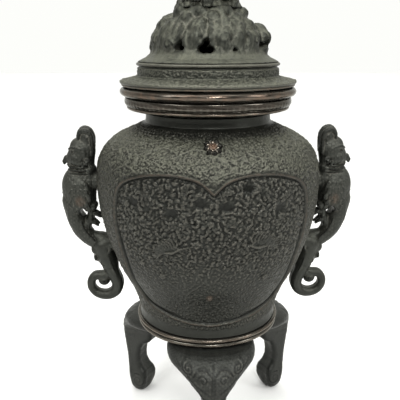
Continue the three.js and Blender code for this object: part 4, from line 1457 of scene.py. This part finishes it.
def make_lion_head():
    """An open-mouthed face in a mane of curls."""
    head = Clay((-22, -36, 395), (22, 20, 434), 0.45)
    head.oval((0, -8.5, 415), (12.5, 12, 11.5), 2)
    head.oval((0, -19, 409.5), (8.6, 8.6, 5.6), 1.6)  # muzzle
    head.oval((0, -17.5, 403.6), (7.4, 7.2, 3.0), 0.8)  # lower jaw
    head.oval((0, -21, 406.2), (7.2, 8, 1.5), 0.5, cut=True)  # the open mouth
    for hand in (-1, 1):
        for k in range(3):
            head.oval((hand * (1.3 + 2.4 * k), -26.2 + 1.1 * k * k, 406.8), (0.9, 0.9, 1.5), 0.2)
            head.oval((hand * (1.3 + 2.3 * k), -23.6 + 1.0 * k * k, 405.2), (0.8, 0.8, 1.2), 0.2)
        head.oval((3.3 * hand, -26, 412.4), (2.8, 2.4, 2.2), 0.6)  # nose wings
        head.oval((3.4 * hand, -28, 412), (1.0, 1.2, 0.8), 0.3, cut=True)
        head.oval((6.2 * hand, -18.6, 417.2), (3.2, 3.0, 3.0), 0.3)  # eyes
        head.oval((6.6 * hand, -21.6, 417.2), (1.0, 1.0, 1.0), 0.2, cut=True)
        brow = spline([(1.5 * hand, -22, 418.8), (6 * hand, -21, 421.6), (11.5 * hand, -15, 419.6)], 6)
        head.rod(brow, (1.3, 2.0), 0.5)
        for k in range(3):
            curl(head, (hand * (4 + 3.6 * k), -17.5 + 2.2 * k, 423.6 - 0.9 * k), (0.4 * hand, -0.6, 1), 2.0,
                 hand)
        ear = spline([(10.5 * hand, -8, 421), (15.5 * hand, -7, 424), (17.2 * hand, -6, 420)], 5)
        head.rod(ear, (3.0, 3.2, 1.2), 0.8)
        for k in range(4):
            curl(head, (hand * (12.6 - 1.2 * k), -10 + 3.8 * k, 404.5 + 2.2 * k),
                 (hand, -0.3 + 0.4 * k, -0.1), 3.0, hand)
            curl(head, (hand * (13.2 - 1.0 * k), -6 + 3.6 * k, 412 + 1.8 * k), (hand, 0.3 * k, 0.2), 3.0,
                 hand)
        for k in range(3):
            curl(head, (4.4 * hand, 2.6 + 0.9 * k, 421 - 7 * k), (0.4 * hand, 1, 0.5 - 0.3 * k), 3.2, hand)
    for k in range(3):
        curl(head, (0, -13 + 6.5 * k, 426.2 - 0.5 * k * k), (0, -0.2 + 0.3 * k, 1), 3.2, 1 if k % 2 else -1)
    head.oval((0, -24.5, 414.4), (2.0, 2.6, 1.8), 0.8)
    piece("lion_face", *head.surface(), "lid_bronze", ("lion_head",), "lid")


def make_lion_tail():
    """Five flame-like locks, with curls at their foot."""
    tail = Clay((-16, 16, 386), (16, 36, 430), 0.5)
    for x0, top, lean in ((0, 426, 0), (-6.5, 418, -4), (6.5, 418, 4), (-3.2, 422, -1.6), (3.2, 422, 1.6)):
        lock = spline([(0.3 * x0, 23, 391), (0.8 * x0, 27, 399), (x0 + 0.6 * lean, 26.5, 409),
                       (x0 + lean, 24.5, top)], 6)
        tail.rod(lock, (3.6, 4.0, 3.2, 0.8), 0.5)
    for hand in (-1, 1):
        for k in range(3):
            curl(tail, (5.5 * hand, 28.4 - 0.5 * k, 396 + 7 * k), (0.6 * hand, 1, 0.1), 3.0, hand)
    tail.rod([(0, 18, 384), (0, 21, 388), (0, 23.5, 393)], (3.2, 3.2, 3.6), 0.8)
    piece("lion_plume", *tail.surface(), "lid_bronze", ("lion_tail",), "lid")


def make_lion_ball():
    """A ball covered with crossing ribbons."""
    low, high = (np.array(corner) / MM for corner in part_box("lion_ball"))
    centre, r = (low + high) / 2, float(high[2] - low[2]) / 2
    globe = Clay(centre - r - 2.5, centre + r + 2.5, 0.4)
    globe.oval(centre, r - 0.5, 0)
    for tilt in range(3):
        for k in range(6):
            a = pi * k / 6
            axis = unit((cos(a), sin(a), 0.4 * tilt - 0.4))
            u = unit(np.cross(axis, (0, 0, 1.0)))
            v = np.cross(axis, u)
            ring = [centre + (r - 0.2) * (cos(b) * u + sin(b) * v) for b in np.linspace(0, 6.283, 26)]
            globe.rod(ring, 0.42, 0.2)
    piece("lion_globe", *globe.surface(), "lid_bronze", ("lion_ball",), "lid")


# ---- small parts kept as they are in the frame ----
def paint_small_parts():
    for name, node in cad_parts.items():
        if "rivet" in name or name.startswith("finial") or name == "base_plate":
            node.data.materials.clear()
            node.data.materials.append(BRONZES["plate" if name == "base_plate" else "rivet_bronze"])


# ---- the whole object ----
place_camera()
studio()
make_jar()
make_rings()
make_lid_base()
make_crest()
make_legs()
make_birds()
make_brackets()
make_dome()
make_lion_body()
make_lion_head()
make_lion_tail()
make_lion_ball()
paint_small_parts()
